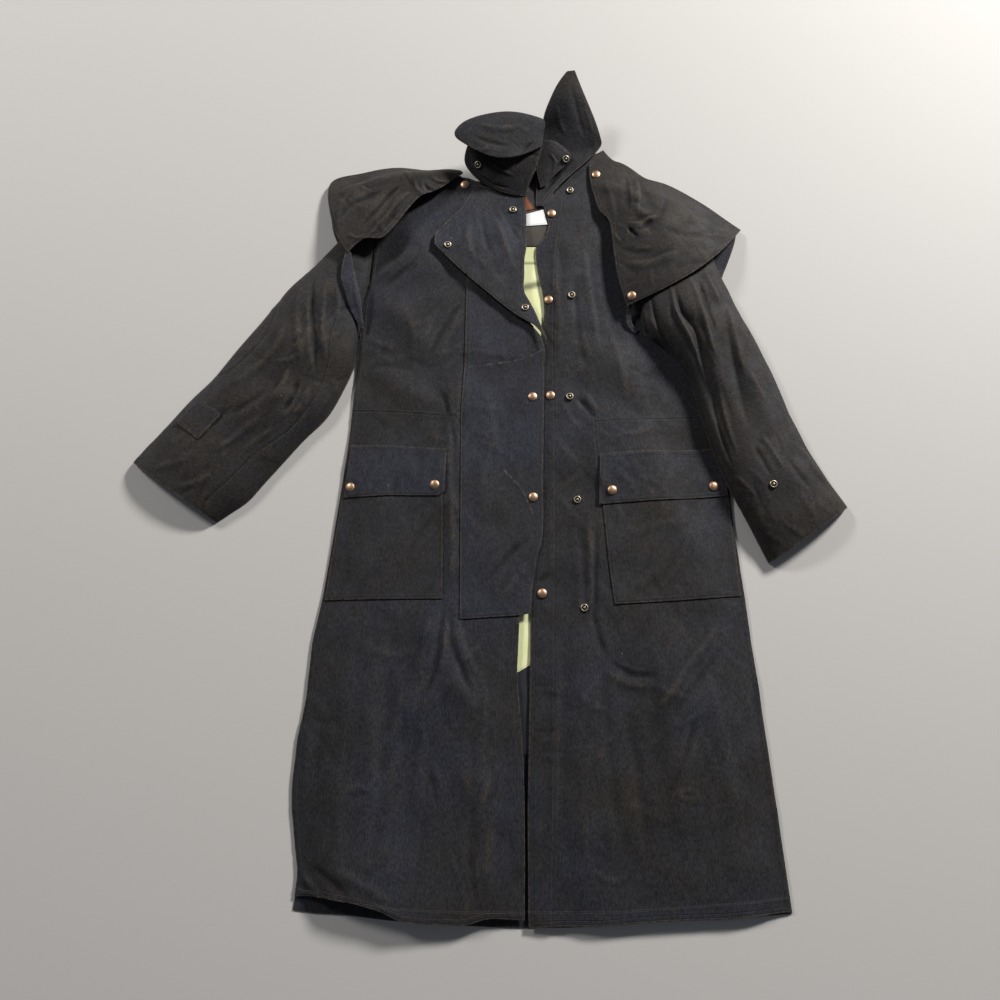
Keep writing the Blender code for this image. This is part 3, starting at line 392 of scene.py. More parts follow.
def smoothRing(ring, spacing, corner=34.0):
    # rounded outline through a ring's points, which keeps its corners sharp
    flow = np.roll(ring, -1, 0) - ring
    lengths = np.linalg.norm(flow, axis=1)
    unit = flow / lengths[:, None]
    before = np.roll(unit, 1, 0)
    sharp = (unit * before).sum(1) < math.cos(math.radians(corner))
    tangent = unit + before
    tangent /= np.linalg.norm(tangent, axis=1)[:, None] + 1e-9
    fine = []
    for i, length in enumerate(lengths):
        j = (i + 1) % len(ring)
        leave = (unit[i] if sharp[i] else tangent[i]) * length
        arrive = (unit[i] if sharp[j] else tangent[j]) * length
        t = np.arange(max(1, round(length / spacing)))[:, None] / max(1, round(length / spacing))
        fine.append(ring[i] * (2 * t**3 - 3 * t**2 + 1) + leave * (t**3 - 2 * t**2 + t)
                    + ring[j] * (3 * t**2 - 2 * t**3) + arrive * (t**3 - t**2))
    return np.concatenate(fine)


def inRing(ring, points):
    inside = np.zeros(len(points), bool)
    for (x1, y1), (x2, y2) in zip(ring, np.roll(ring, -1, 0)):
        if y1 == y2:
            continue
        crosses = (y1 > points[:, 1]) != (y2 > points[:, 1])
        inside ^= crosses & (points[:, 0] < x1 + (x2 - x1) * (points[:, 1] - y1) / (y2 - y1))
    return inside


def treeOf(points):
    tree = KDTree(len(points))
    for index, point in enumerate(points):
        tree.insert((*point, 0.0) if len(point) == 2 else point, index)
    tree.balance()
    return tree


def gapsTo(tree, points):
    # distance from each point to the nearest point of a tree
    return np.array([tree.find((*p, 0.0) if len(p) == 2 else p)[2] for p in points])


def smoothPath(path, step=5.0):
    # curve through a few points, as points a step apart
    path = np.array(path, float)
    padded = np.vstack([2 * path[0] - path[1], path, 2 * path[-1] - path[-2]])
    fine = []
    for k in range(1, len(padded) - 2):
        a, b, c, d = padded[k - 1:k + 3]
        count = max(2, int(np.linalg.norm(c - b) / step))
        t = (np.arange(count) / count)[:, None]
        bend = (2 * a - 5 * b + 4 * c - d) * t**2 + (3 * b - a - 3 * c + d) * t**3
        fine.append(0.5 * (2 * b + (c - a) * t + bend))
    return np.vstack([*fine, path[-1:]])


netSizes = {"spacing": 4.3, "rollIn": 1.8, "clear": 0.62}


def fineNet(rings, seams=(), spacing=netSizes["spacing"]):
    # one net of small triangles under all the rings of a stack, with the seam lines among its edges
    points = []
    outlines = []
    lines = []
    for ring in rings:
        outlines.append(list(range(len(points), len(points) + len(ring))))
        points.extend(map(tuple, ring))
    for path in seams:
        first = len(points)
        points.extend(map(tuple, path))
        lines += [(k, k + 1) for k in range(first, len(points) - 1)]
    fixed = treeOf(points)
    for ring in rings:
        along = np.roll(ring, -1, 0) - np.roll(ring, 1, 0)
        inward = np.stack([-along[:, 1], along[:, 0]], 1) / (np.linalg.norm(along, axis=1)[:, None] + 1e-9)
        inset = ring + inward * netSizes["rollIn"]
        good = gapsTo(fixed, inset) > 0.75 * netSizes["rollIn"]
        points.extend(map(tuple, inset[good]))
    fixed = treeOf(points)
    low = np.min([ring.min(0) for ring in rings], 0)
    high = np.max([ring.max(0) for ring in rings], 0)
    rowStep = spacing * math.sqrt(3) / 2
    rows, columns = np.mgrid[0:int((high[1] - low[1]) / rowStep) + 1, 0:int((high[0] - low[0]) / spacing) + 1]
    across = low[0] + (columns + 0.5 * (rows % 2)) * spacing
    grid = np.stack([across, low[1] + rows * rowStep], -1).reshape(-1, 2)
    covered = np.zeros(len(grid), bool)
    for ring in rings:
        covered |= inRing(ring, grid)
    grid = grid[covered]
    grid = grid[gapsTo(fixed, grid) > netSizes["clear"] * spacing]
    flat = [Vector(p) for p in points] + [Vector(p) for p in grid]
    result = delaunay_2d_cdt(flat, lines, outlines, 1, 0.001)
    spots = np.array([(v.x, v.y) for v in result[0]])
    corners = np.array(result[2])
    a, b, c = spots[corners[:, 0]], spots[corners[:, 1]], spots[corners[:, 2]]
    turned = (b[:, 0] - a[:, 0]) * (c[:, 1] - a[:, 1]) < (b[:, 1] - a[:, 1]) * (c[:, 0] - a[:, 0])
    corners[turned] = corners[turned][:, ::-1]
    owners = result[5]
    return spots, [corners[[k in own for own in owners]] for k in range(len(rings))]


def edgesOf(faces):
    pairs = np.sort(np.concatenate([faces[:, [0, 1]], faces[:, [1, 2]], faces[:, [2, 0]]]), axis=1)
    return np.unique(pairs, axis=0)


def borderOf(faces):
    # directed edges that only one triangle uses
    directed = np.concatenate([faces[:, [0, 1]], faces[:, [1, 2]], faces[:, [2, 0]]])
    key = np.sort(directed, axis=1)
    _, index, count = np.unique(key, axis=0, return_index=True, return_counts=True)
    return directed[index[count == 1]]


def relax(values, faces, rounds, share=0.5):
    # evens out a value over a mesh
    edges = edgesOf(faces)
    a, b = edges[:, 0], edges[:, 1]
    size = len(values)
    links = np.maximum(np.bincount(a, minlength=size) + np.bincount(b, minlength=size), 1)
    for _ in range(rounds):
        mean = (np.bincount(a, values[b], size) + np.bincount(b, values[a], size)) / links
        values = values + share * (mean - values)
    return values


def normalsOf(points, faces):
    a, b, c = (points[faces[:, k]] for k in range(3))
    across = np.cross(b - a, c - a)
    normals = np.zeros_like(points)
    for k in range(3):
        for axis in range(3):
            normals[:, axis] += np.bincount(faces[:, k], across[:, axis], len(points))
    return normals / (np.linalg.norm(normals, axis=1)[:, None] + 1e-12)


def surfaceTree(points, faces):
    # tree in millimetres of an outer face
    return BVHTree.FromPolygons([Vector(p) for p in points], faces.tolist())


def topsBelow(trees, points, missing=-1.0):
    # height of the highest of several surfaces under each point
    down = Vector((0, 0, -1))
    heights = np.full(len(points), missing)
    for index, (x, y) in enumerate(points[:, :2]):
        start = Vector((x, y, 400.0))
        for tree in trees:
            hit = tree.ray_cast(start, down)[0]
            if hit is not None and hit.z > heights[index]:
                heights[index] = hit.z
    return heights


# Creases: seeded small ones everywhere, and the main ones listed
def creaseField(points, creases, seed):
    # summed rise of creases given as (path, half width, rise, crispness from 0 to 1)
    random = np.random.default_rng(seed)
    total = np.zeros(len(points))
    for path, half, rise, crisp in creases:
        lean = random.uniform(-0.35, 0.35)
        beat = random.uniform(0.0, math.tau)
        path = np.asarray(path, float)
        low = path.min(0) - half * 2.6
        high = path.max(0) + half * 2.6
        near = np.flatnonzero(((points[:, :2] > low) & (points[:, :2] < high)).all(1))
        if len(near) == 0:
            continue
        spots = points[near, :2]
        best = np.full(len(near), 1e9)
        along = np.zeros(len(near))
        side = np.zeros(len(near))
        steps = np.linalg.norm(np.diff(path, axis=0), axis=1)
        starts = np.concatenate([[0.0], np.cumsum(steps)])
        for k, step in enumerate(steps):
            run = (path[k + 1] - path[k]) / max(step, 1e-6)
            offset = spots - path[k]
            t = np.clip(offset @ run, 0.0, step)
            apart = np.linalg.norm(offset - t[:, None] * run, axis=1)
            closer = apart < best
            best[closer] = apart[closer]
            along[closer] = (starts[k] + t[closer]) / starts[-1]
            side[closer] = np.sign(run[0] * offset[closer, 1] - run[1] * offset[closer, 0])
        fade = np.clip(np.minimum(along, 1.0 - along) / 0.32 + 0.02, 0.0, 1.0)
        fade = fade * fade * (3 - 2 * fade) * (0.86 + 0.14 * np.sin(along * 9.0 + beat))
        width = half * (1.0 + lean * side) * (0.45 + 0.55 * fade)
        share = best / width
        profile = (1 - crisp) * np.exp(-1.6 * share**2) + crisp * np.exp(-1.9 * share) * (1 + 0.4 * share)
        total[near] += rise * fade * profile
    return total


def scatterCreases(random, count, low, high, heading, spread, length, half, rise, crisp=0.25):
    # seeded creases over a box, most of them near one heading in degrees
    made = []
    for _ in range(count):
        middle = random.uniform(low, high)
        angle = math.radians(heading + random.normal(0.0, spread))
        reach = random.uniform(*length) / 2
        bend = random.normal(0.0, 0.18) * reach
        run = np.array([math.cos(angle), math.sin(angle)])
        path = [middle - run * reach, middle + np.array([-run[1], run[0]]) * bend, middle + run * reach]
        sign = 1.0 if random.random() < 0.6 else -1.0
        made.append((smoothPath(path, 20.0), random.uniform(*half), sign * random.uniform(*rise), crisp))
    return made


def slack(points, seed, wave=130.0, depth=1.2):
    # slow unevenness of cloth that isn't pulled flat
    random = np.random.default_rng(seed)
    total = np.zeros(len(points))
    for _ in range(14):
        angle = random.uniform(0, math.tau)
        length = wave * random.uniform(0.6, 1.7)
        phase = random.uniform(0, math.tau)
        along = points[:, 0] * math.cos(angle) + points[:, 1] * math.sin(angle)
        total += np.sin(along * math.tau / length + phase)
    return total * depth / math.sqrt(14)


def ease(values, low, high):
    t = np.clip((values - low) / (high - low), 0.0, 1.0)
    return t * t * (3 - 2 * t)


def crestWearAndHollowShade(points, faces, normals):
    # from -1 in the hollow of a fold, which the finish paints dark as shade, through 0 on flat cloth, to 1 on the
    # crest of a fold, where the wax rubs off
    edges = edgesOf(faces)
    a, b = edges[:, 0], edges[:, 1]
    size = len(points)
    links = np.maximum(np.bincount(a, minlength=size) + np.bincount(b, minlength=size), 1)
    mean = np.stack([(np.bincount(a, points[b, k], size) + np.bincount(b, points[a, k], size)) / links
                     for k in range(3)], 1)
    step = np.linalg.norm(points[a] - points[b], axis=1).mean()
    bend = ((points - mean) * normals).sum(1) / step**2
    return np.clip(relax(bend, faces, 3) / 0.016, -1.0, 1.0)


def makeShell(name, points, faces, thickness, finish, fields):
    # closed shell: outer face, inner face one thickness in, and a rounded rim between them
    normals = normalsOf(points, faces)
    wearAndShade = crestWearAndHollowShade(points, faces, normals)
    border = borderOf(faces)
    rim = np.unique(border)
    outer = points.copy()
    inner = points - normals * thickness
    outer[rim] -= normals[rim] * thickness * 0.3
    inner[rim] += normals[rim] * thickness * 0.3
    size = len(points)
    walls = np.concatenate([np.stack([border[:, 1], border[:, 0], border[:, 0] + size], 1),
                            np.stack([border[:, 1], border[:, 0] + size, border[:, 1] + size], 1)])
    corners = np.concatenate([faces, faces[:, ::-1] + size, walls])
    mesh = bpy.data.meshes.new(name)
    mesh.from_pydata((np.concatenate([outer, inner]) * mm).tolist(), [], corners.tolist())
    mesh.update()
    mesh.shade_smooth()
    mesh.set_sharp_from_angle(angle=math.radians(62.0))
    values = {"wearAndShade": wearAndShade, **fields}
    for key, value in values.items():
        if key == "grain":
            layer = mesh.attributes.new(key, "FLOAT_VECTOR", "POINT")
            layer.data.foreach_set("vector", (np.concatenate([value, value]) * mm).astype(np.float32).ravel())
        else:
            spread = np.broadcast_to(value, size)
            layer = mesh.attributes.new(key, "FLOAT", "POINT")
            layer.data.foreach_set("value", np.concatenate([spread, spread]).astype(np.float32))
    mesh.materials.append(finishes[finish])
    made = bpy.data.objects.new(name, mesh)
    bpy.context.scene.collection.objects.link(made)
    return made


def grainOf(points, degrees=0.0):
    # the cloth's own directions, turned to the piece's grain
    turn = math.radians(degrees)
    x = points[:, 0] * math.cos(turn) + points[:, 1] * math.sin(turn)
    y = points[:, 1] * math.cos(turn) - points[:, 0] * math.sin(turn)
    return np.stack([x, y, points[:, 2]], 1)


def borderGap(points, faces):
    # distance of each point to the piece's own border, along the cloth's chord
    border = borderOf(faces)
    samples = [points[border[:, 0]] * (1 - t) + points[border[:, 1]] * t for t in (0.0, 0.25, 0.5, 0.75)]
    return gapsTo(treeOf(np.concatenate(samples)), points)


# What the cut pieces are: finish, how brown (tone), stitched rows from the edge, and the flat cut
# cut is (width, length, area) in metres of what shows
clothPieces = {
    "cape_back": {"tone": 0.2, "cut": (0.74, 0.30, 0.159), "on": ["floor"]},
    "back": {"tone": 0.3, "cut": (0.745, 1.295, 0.777), "on": ["cape_back"]},
    "lining_pale": {"finish": "paleLining", "thickness": 0.9,
        "cut": (0.098, 0.745, 0.0655), "on": ["back"]},
    "lining_navy": {"finish": "navyLining", "thickness": 0.9, "cut": (0.086, 0.155, 0.011), "on": ["back"]},
    "neck_facing": {"finish": "brownFacing", "thickness": 0.9,
        "cut": (0.094, 0.130, 0.010), "on": ["back"]},
    "label_leather": {"finish": "leatherLabel", "thickness": 0.9,
        "cut": (0.033, 0.040, 0.0013), "on": ["neck_facing"]},
    "label_white": {"finish": "whiteLabel", "thickness": 0.6,
        "cut": (0.038, 0.033, 0.001), "on": ["neck_facing"]},
    "front_right": {"tone": 0.40, "rows": (8.2,),
        "cut": (0.365, 1.225, 0.368), "on": ["back", "lining_pale"]},
    "storm_flap": {"tone": 0.16, "rows": (2.2, 8.2), "cut": (0.142, 0.593, 0.072), "on": ["front_right"]},
    "gun_flap": {"tone": 0.22, "rows": (2.2, 8.2),
        "cut": (0.193, 0.305, 0.0292), "on": ["storm_flap", "front_right"]},
    "pocket_right": {"tone": 0.55, "rows": (2.2, 8.2),
        "cut": (0.185, 0.195, 0.0344), "on": ["front_right"]},
    "pocket_flap_right": {"tone": 0.16, "rows": (2.2, 8.2),
        "cut": (0.17, 0.092, 0.0143), "on": ["pocket_right"]},
    "front_left": {"tone": 0.40, "rows": (2.2,),
        "cut": (0.386, 1.292, 0.379), "on": ["back", "lining_pale"]},
    "pocket_left": {"tone": 0.40, "rows": (2.2, 8.2), "cut": (0.215, 0.205, 0.0413), "on": ["front_left"]},
    "pocket_flap_left": {"tone": 0.16, "rows": (2.2, 8.2),
        "cut": (0.21, 0.098, 0.018), "on": ["pocket_left"]},
    "sleeve_under_right": {"tone": 0.4, "cut": (0.23, 0.58, 0.0921), "on": ["back"]},
    "sleeve_under_left": {"tone": 0.4, "cut": (0.22, 0.56, 0.0866), "on": ["front_left", "back"]},
    "sleeve_top_right": {"tone": 0.62, "cut": (0.26, 0.60, 0.106), "on": ["sleeve_under_right"]},
    "sleeve_top_left": {"tone": 0.72, "cut": (0.25, 0.58, 0.105), "on": ["sleeve_under_left"]},
    "cuff_tab_right": {"tone": 0.5, "rows": (2.2,),
        "cut": (0.082, 0.055, 0.0033), "on": ["sleeve_top_right"]},
    "cape_strap_right": {"tone": 0.1, "cut": (0.028, 0.135, 0.003), "on": ["sleeve_top_right"]},
    "cape_right": {"tone": 0.75, "rows": (2.2, 8.2),
        "cut": (0.25, 0.20, 0.0298), "on": ["sleeve_top_right"]},
    "cape_strap_left": {"tone": 0.4, "cut": (0.012, 0.056, 0.0006), "on": ["sleeve_top_left"]},
    "cape_left": {"tone": 0.80, "rows": (2.2, 8.2),
        "cut": (0.275, 0.33, 0.0500), "on": ["sleeve_top_left", "front_left"]},
    "collar_stand_right": {"tone": 0.5, "rows": (2.2,),
        "cut": (0.14, 0.095, 0.010), "on": ["gun_flap", "collar_leaf_left"]},
    "collar_leaf_right": {"tone": 0.45, "rows": (2.2, 8.2),
        "cut": (0.165, 0.09, 0.0109), "on": ["collar_stand_right", "collar_leaf_left"]},
    "throat_tab": {"tone": 0.5, "rows": (2.2,),
        "cut": (0.065, 0.086, 0.0037), "on": ["neck_facing", "collar_leaf_left"]},
    "collar_leaf_left": {"tone": 0.5, "rows": (2.2, 8.2),
        "cut": (0.125, 0.235, 0.0169), "on": ["neck_facing", "front_left"]},
}
shellThickness = 1.6
restGap = 0.35
pieceEnd = "_cloth"
surfaces = {}  # outer face trees, for what lies on them
stitchRuns = {}  # runs of (place, up) per group, for the thread


def addPiece(node, points, faces, seam=None, bindingAndShadow=0.0, degrees=0.0, scuff=0.0, shade=0.0, joined=None):
    # joined marks where an edge runs into its neighbour, with no row of stitches
    plan = clothPieces[node]
    edge = borderGap(points, faces)
    if joined is not None:
        edge = np.where(joined > 0.5, 99.0, edge)
    fields = {
        "edge": edge,
        "scuff": scuff,
        "shade": shade,
        "seam": 99.0 if seam is None else seam,
        "tone": plan.get("tone", 0.0),
        "rows": 1.0 if plan.get("rows") else 0.0,
        "bindingAndShadow": bindingAndShadow,
        "grain": grainOf(points, degrees),
    }
    thickness = plan.get("thickness", shellThickness)
    piece = makeShell(node + pieceEnd, points, faces, thickness, plan.get("finish", "waxedCotton"), fields)
    for level in plan.get("rows", ()):
        addRuns(node, points, faces, edge, level, None if joined is None else joined < 0.5)
    surfaces[node] = surfaceTree(points, faces)
    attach(piece, "root")
    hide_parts(node)
    return piece


def addRuns(group, points, faces, field, level, allowed=None):
    # runs of points where a field crosses a level on an outer face, for rows of stitches
    value = field[faces] - level
    above = value > 0
    crossed = above.any(1) & ~above.all(1)
    if allowed is not None:
        crossed &= allowed[faces].all(1)
    normals = normalsOf(points, faces)
    spots = {}
    links = {}
    for tri, over in zip(faces[crossed], above[crossed]):
        keys = []
        for a, b in ((0, 1), (1, 2), (2, 0)):
            if over[a] != over[b]:
                low, high = sorted((int(tri[a]), int(tri[b])))
                t = (level - field[low]) / (field[high] - field[low])
                spots[(low, high)] = (points[low] * (1 - t) + points[high] * t,
                                      normals[low] * (1 - t) + normals[high] * t)
                keys.append((low, high))
        links.setdefault(keys[0], []).append(keys[1])
        links.setdefault(keys[1], []).append(keys[0])
    unused = set(links)
    ends = [key for key in links if len(links[key]) == 1]
    for start in ends + list(links):
        if start not in unused:
            continue
        run = [start]
        unused.discard(start)
        while True:
            ahead = [key for key in links[run[-1]] if key in unused]
            if not ahead:
                break
            run.append(ahead[0])
            unused.discard(ahead[0])
        if len(run) > 3:
            stitchRuns.setdefault(group, []).append([spots[key] for key in run])


def sidedGap(points, path):
    # signed distance to a seam, and which points lie beside it and not past its ends
    tree = treeOf(path)
    signed = np.full(len(points), 999.0)
    beside = np.zeros(len(points), bool)
    for index, point in enumerate(points[:, :2]):
        _, nearest, gap = tree.find((*point, 0.0))
        if gap < 30.0 and 0 < nearest < len(path) - 1:
            run = path[nearest + 1] - path[nearest - 1]
            offset = point - path[nearest]
            signed[index] = math.copysign(gap, run[0] * offset[1] - run[1] * offset[0])
            beside[index] = True
    return signed, beside


def seenPlane(points, height):
    # where the photo's camera sees each point, on a plane at one height
    share = (photoView["height"] - height) / (photoView["height"] - points[:, 2])
    eye = np.array([photoView["overX"], photoView["overY"]])
    return eye + (points[:, :2] - eye) * share[:, None]


def seenPath(pixels, height=14.0, step=5.0):
    return smoothPath([seenAt(px, py, height) for px, py in pixels], step)


def seenCreases(rows, height=14.0):
    return [(seenPath(pixels, height, 12.0), half, rise, crisp) for pixels, half, rise, crisp in rows]


# Flat pieces at the bottom: the back, the cape's back half, linings and labels
def buildFlat(node, spacing, rise=None, degrees=0.0, bindingAndShadow=None):
    work = outerFace(node)
    ring = smoothRing(borderRing(work), spacing)
    spots, (faces,) = fineNet([ring], spacing=spacing)
    used = np.unique(faces)
    spots = spots[used]
    faces = np.searchsorted(used, faces)
    heights = heightsOn(work, spots)
    heights = relax(heights, faces, 6)
    if rise is not None:
        heights = heights + rise(spots, borderGap(np.column_stack([spots, heights]), faces))
    points = np.column_stack([spots, heights])
    return addPiece(node, points, faces, degrees=degrees, bindingAndShadow=0.0 if bindingAndShadow is None else bindingAndShadow(points))


def heightsOn(work, spots):
    # heights of a CAD face under each spot; just outside it, that of the nearest corner
    tree = BVHTree.FromBMesh(work)
    corners = [(v.co.x / mm, v.co.y / mm) for v in work.verts]
    levels = [v.co.z / mm for v in work.verts]
    nearest = treeOf(corners)
    heights = np.empty(len(spots))
    for index, (x, y) in enumerate(spots):
        hit = tree.ray_cast(Vector((x * mm, y * mm, 1.0)), Vector((0, 0, -1)))[0]
        heights[index] = levels[nearest.find((x, y, 0.0))[1]] if hit is None else hit.z / mm
    return heights


# Right front and what is sewn on it; paths are pixels of the photo
rightFront = {
    "stack": ("front_right", "storm_flap", "gun_flap", "pocket_right", "pocket_flap_right"),
    "seed": 11,
    "seams": {
        # name: path, sides of its stitch rows
        "waist": ([(340, 408), (400, 412.5), (456, 416)], (-3.0, 3.0)),
        "facing": ([(503, 624), (497, 687), (492, 800), (487, 930)], (1.4,)),
        "hem": ([(284, 889), (350, 899), (420, 909), (535, 915)], (-1.2, 1.2)),
    },
    "creases": [
        # pixels, half width, rise, crispness
        ([(380, 290), (400, 273), (424, 254)], 7, -3.4, 0.3),
        ([(372, 283), (394, 265), (420, 247)], 9, 3.0, 0.2),
        ([(426, 364), (437.9, 336.7), (451.6, 315.3), (467, 295)], 6, -4.4, 0.4),
        ([(434, 372), (447, 340), (463, 306)], 7, 2.8, 0.3),
        ([(416, 360), (426, 332), (440, 306)], 8, 2.2, 0.2),
        ([(404, 280), (412, 270), (421, 262)], 4, -2.6, 0.4),
        ([(470, 353), (482.3, 345), (502, 333)], 4, -1.8, 0.4),
        ([(408, 327), (422, 322), (435, 316)], 5, 1.4, 0.4),
        ([(362, 330), (380, 344), (404, 350)], 9, 1.8, 0.2),
        ([(360, 372), (386, 366), (420, 372)], 8, -1.6, 0.2),
        ([(400, 300), (412, 330), (414, 372)], 9, 1.7, 0.2),
        ([(469, 368), (500, 362), (545, 351)], 2.2, 0.7, 0.9),
        ([(470, 353), (487, 342), (504, 332)], 5, 1.8, 0.4),
        ([(474, 330), (482, 318), (486, 300)], 5, 1.2, 0.3),
        ([(452, 372), (449, 450), (452, 540), (450, 618)], 5, 2.6, 0.4),
        ([(458, 330), (459, 420), (458, 500)], 3.5, 1.2, 0.4),
        ([(438, 380), (449, 413), (457, 456)], 4, -3.4, 0.5),
        ([(446, 596), (439.4, 643.4), (431.8, 680.3), (414, 712)], 7, -5.0, 0.6),
        ([(430, 610), (424, 650), (412, 690)], 11, 2.4, 0.2),
        ([(446, 612), (444, 646), (440, 684)], 6, 3.0, 0.3),
        ([(450, 600), (452, 639), (466.5, 680.3), (478, 706)], 6, -4.0, 0.4),
        ([(458, 606), (464, 648), (486, 690)], 8, 2.6, 0.2),
        ([(495, 760), (484, 796), (467, 842)], 5, 2.2, 0.5),
        ([(469, 846), (473, 876), (476, 905)], 4, -2.0, 0.4),
        ([(429, 770), (435, 790), (437, 810)], 5, -2.2, 0.4),
        ([(340, 792), (358, 796), (372, 790)], 4, -1.6, 0.5),
        ([(484, 380), (494, 430), (503, 470)], 13, 1.5, 0.1),
        ([(503, 469), (516, 483), (537, 513)], 3, 1.0, 0.8),
        ([(486, 584), (508, 556), (531, 536)], 9, -2.8, 0.2),
        ([(497, 600), (512, 585), (528, 560)], 8, 1.6, 0.2),
        ([(514, 570), (522, 577), (531, 586)], 4, -1.6, 0.5),
        ([(352, 622), (345, 740), (335, 880)], 20, 2.2, 0.1),
        ([(392, 640), (384, 760), (372, 890)], 17, -2.2, 0.1),
        ([(430, 720), (420, 800), (410, 905)], 15, 2.2, 0.1),
        ([(470, 705), (474, 800), (468, 900)], 11, -1.7, 0.2),
        ([(318, 640), (308, 740), (304, 850)], 12, 2.2, 0.2),
        ([(338, 800), (355, 786), (374, 793)], 5, 1.3, 0.5),
        ([(362, 640), (390, 655), (420, 650)], 9, 1.2, 0.2),
        ([(298, 868), (314.7, 890), (323, 912)], 6, 3.4, 0.5),
        ([(306, 862), (330, 880), (352, 902)], 8, -2.6, 0.3),
        ([(330, 866), (352, 880), (396, 904)], 9, 2.4, 0.3),
        ([(478, 640), (484, 700), (482, 760)], 6, 1.4, 0.3),
    ],
    "scatter": [
        # count, box low and high as shares of the coat's box, heading, spread, length, half, rise
        (150, (0.25, 0.01), (0.56, 0.50), 86, 28, (50, 170), (4, 13), (0.3, 1.0)),
        (110, (0.25, 0.45), (0.56, 0.86), 55, 50, (25, 100), (3, 9), (0.3, 1.0)),
    ],
    "scuffs": [
        [(470, 367.4), (500.6, 362.8), (523.6, 358.2), (541.9, 350.5)],
        [(503, 469), (513, 479), (524, 493), (533, 513)],
    ],
    "scuffed": ("storm_flap",),
    "nudges": {"gun_flap": [((542, 336), 24.0, (3.0, -5.0, 2.0))]},
    "flapCreases": {
        "gun_flap": [
            ([(488.4, 191.3), (494.5, 214.3), (503.7, 231)], 4, -3.0, 0.4),
            ([(480, 205), (484, 232), (492, 262)], 6, -3.0, 0.3),
            ([(489, 198), (500, 232), (516, 280)], 6, 2.6, 0.3),
            ([(497, 200), (508, 222), (522, 250)], 4, -2.4, 0.4),
            ([(470, 214), (468, 240), (476, 268)], 7, 2.2, 0.2),
            ([(507, 214), (514, 224), (524, 232)], 3, -1.8, 0.5),
            ([(512, 205), (519, 214), (524, 226)], 4, 1.6, 0.4),
            ([(452, 240), (480, 262), (512, 300)], 8, 1.3, 0.1),
        ],
    },
}

leftFront = {
    "stack": ("front_left", "pocket_left", "pocket_flap_left"),
    "seed": 23,
    "seams": {
        "waist": ([(593, 421.5), (640, 418.5), (712, 415)], (-3.0, 3.0)),
        "side": ([(594, 414), (597, 460), (599.5, 512)], (-1.5,)),
        "facing": ([(566, 190), (557, 260), (555, 330), (556, 420), (557, 520), (556, 640), (556, 770),
                    (554, 932)], (1.4, -4.5)),
        "hem": ([(520, 914), (620, 912), (720, 905), (800, 899)], (-1.2, 1.2)),
    },
    "creases": [
        ([(573, 394), (584, 405), (598, 423)], 4, -4.2, 0.5),
        ([(563, 400), (570, 416), (581, 430)], 4, 1.6, 0.5),
        ([(582, 388), (590, 402), (604, 414)], 5, 2.4, 0.4),
        ([(549, 400), (553, 440), (551, 500), (552, 590)], 5, 1.6, 0.3),
        ([(586, 500), (590, 560), (592, 624)], 6, 3.2, 0.3),
        ([(597, 506), (596, 562.5), (594.5, 640)], 4, -3.4, 0.5),
        ([(574, 520), (580, 580), (582, 640)], 7, 1.8, 0.2),
        ([(555, 492), (574, 479), (590, 466)], 6, 1.3, 0.3),
        ([(535, 585), (544, 578), (555, 573)], 5, -2.6, 0.3),
        ([(560, 215), (555, 262), (559, 330), (556, 388)], 7, 2.2, 0.2),
        ([(583, 232), (590, 290), (601, 360)], 9, 2.6, 0.2),
        ([(575, 262), (577, 320), (587, 380)], 6, -2.0, 0.3),
        ([(606, 320), (618, 360), (628, 408)], 9, 2.0, 0.2),
        ([(620, 380), (646, 372), (664, 360)], 8, 1.3, 0.2),
        ([(606, 442), (630, 434), (652, 428)], 7, 1.3, 0.3),
        ([(560, 640), (556, 740), (553, 860)], 11, 2.2, 0.2),
        ([(600, 640), (610, 740), (620, 850)], 14, -2.2, 0.1),
        ([(592, 606), (601, 643.4), (609, 660)], 5, -3.4, 0.4),
        ([(604, 656), (631.5, 673.8), (664, 676)], 5, -2.6, 0.4),
        ([(600, 668), (628, 684), (660, 688)], 8, 2.2, 0.2),
        ([(724, 618), (674.9, 686.8), (646, 724)], 8, 2.8, 0.3),
        ([(734, 632), (690, 692), (660, 730)], 9, -2.0, 0.2),
        ([(698, 704), (683.5, 762.7), (660, 808)], 7, -2.6, 0.3),
        ([(532, 694), (548, 690), (566, 695)], 4, 1.6, 0.4),
        ([(530, 728), (546, 732), (562, 728)], 5, -1.4, 0.4),
        ([(534, 760), (548, 756), (566, 760)], 5, 1.4, 0.4),
        ([(679.2, 786), (681.4, 799.6), (708, 801)], 4, 1.8, 0.5),
        ([(590.3, 866.8), (605.4, 879.8), (624, 882)], 4, 1.6, 0.5),
        ([(650, 620), (672, 740), (690, 880)], 22, 2.8, 0.1),
        ([(700, 640), (728, 760), (748, 880)], 18, 2.4, 0.1),
        ([(622, 700), (640, 780), (650, 880)], 13, -2.0, 0.2),
        ([(740, 610), (752, 700), (766, 800)], 13, 2.2, 0.2),
        ([(618, 540), (650, 527), (690, 520)], 10, 1.2, 0.1),
        ([(622, 590), (654, 572), (676, 540)], 9, 1.0, 0.1),
        ([(668, 800), (690, 790), (706, 803)], 5, 1.2, 0.5),
        ([(576, 690), (590, 706), (612, 712)], 7, 1.2, 0.3),
    ],
    "scatter": [
        (170, (0.52, 0.01), (0.90, 0.50), 94, 28, (50, 170), (4, 13), (0.3, 1.0)),
        (110, (0.52, 0.45), (0.80, 0.88), 110, 50, (25, 100), (3, 9), (0.3, 1.0)),
    ],
    "scuffs": [[(674, 801.5), (690, 802), (707, 800.5)]],
    "scuffed": (),
    "nudges": {},
    "flapCreases": {},
}
boxSize = np.array([(cadHigh.x - cadLow.x) / mm, (cadHigh.y - cadLow.y) / mm])
boxLow = np.array([cadLow.x / mm, cadLow.y / mm])


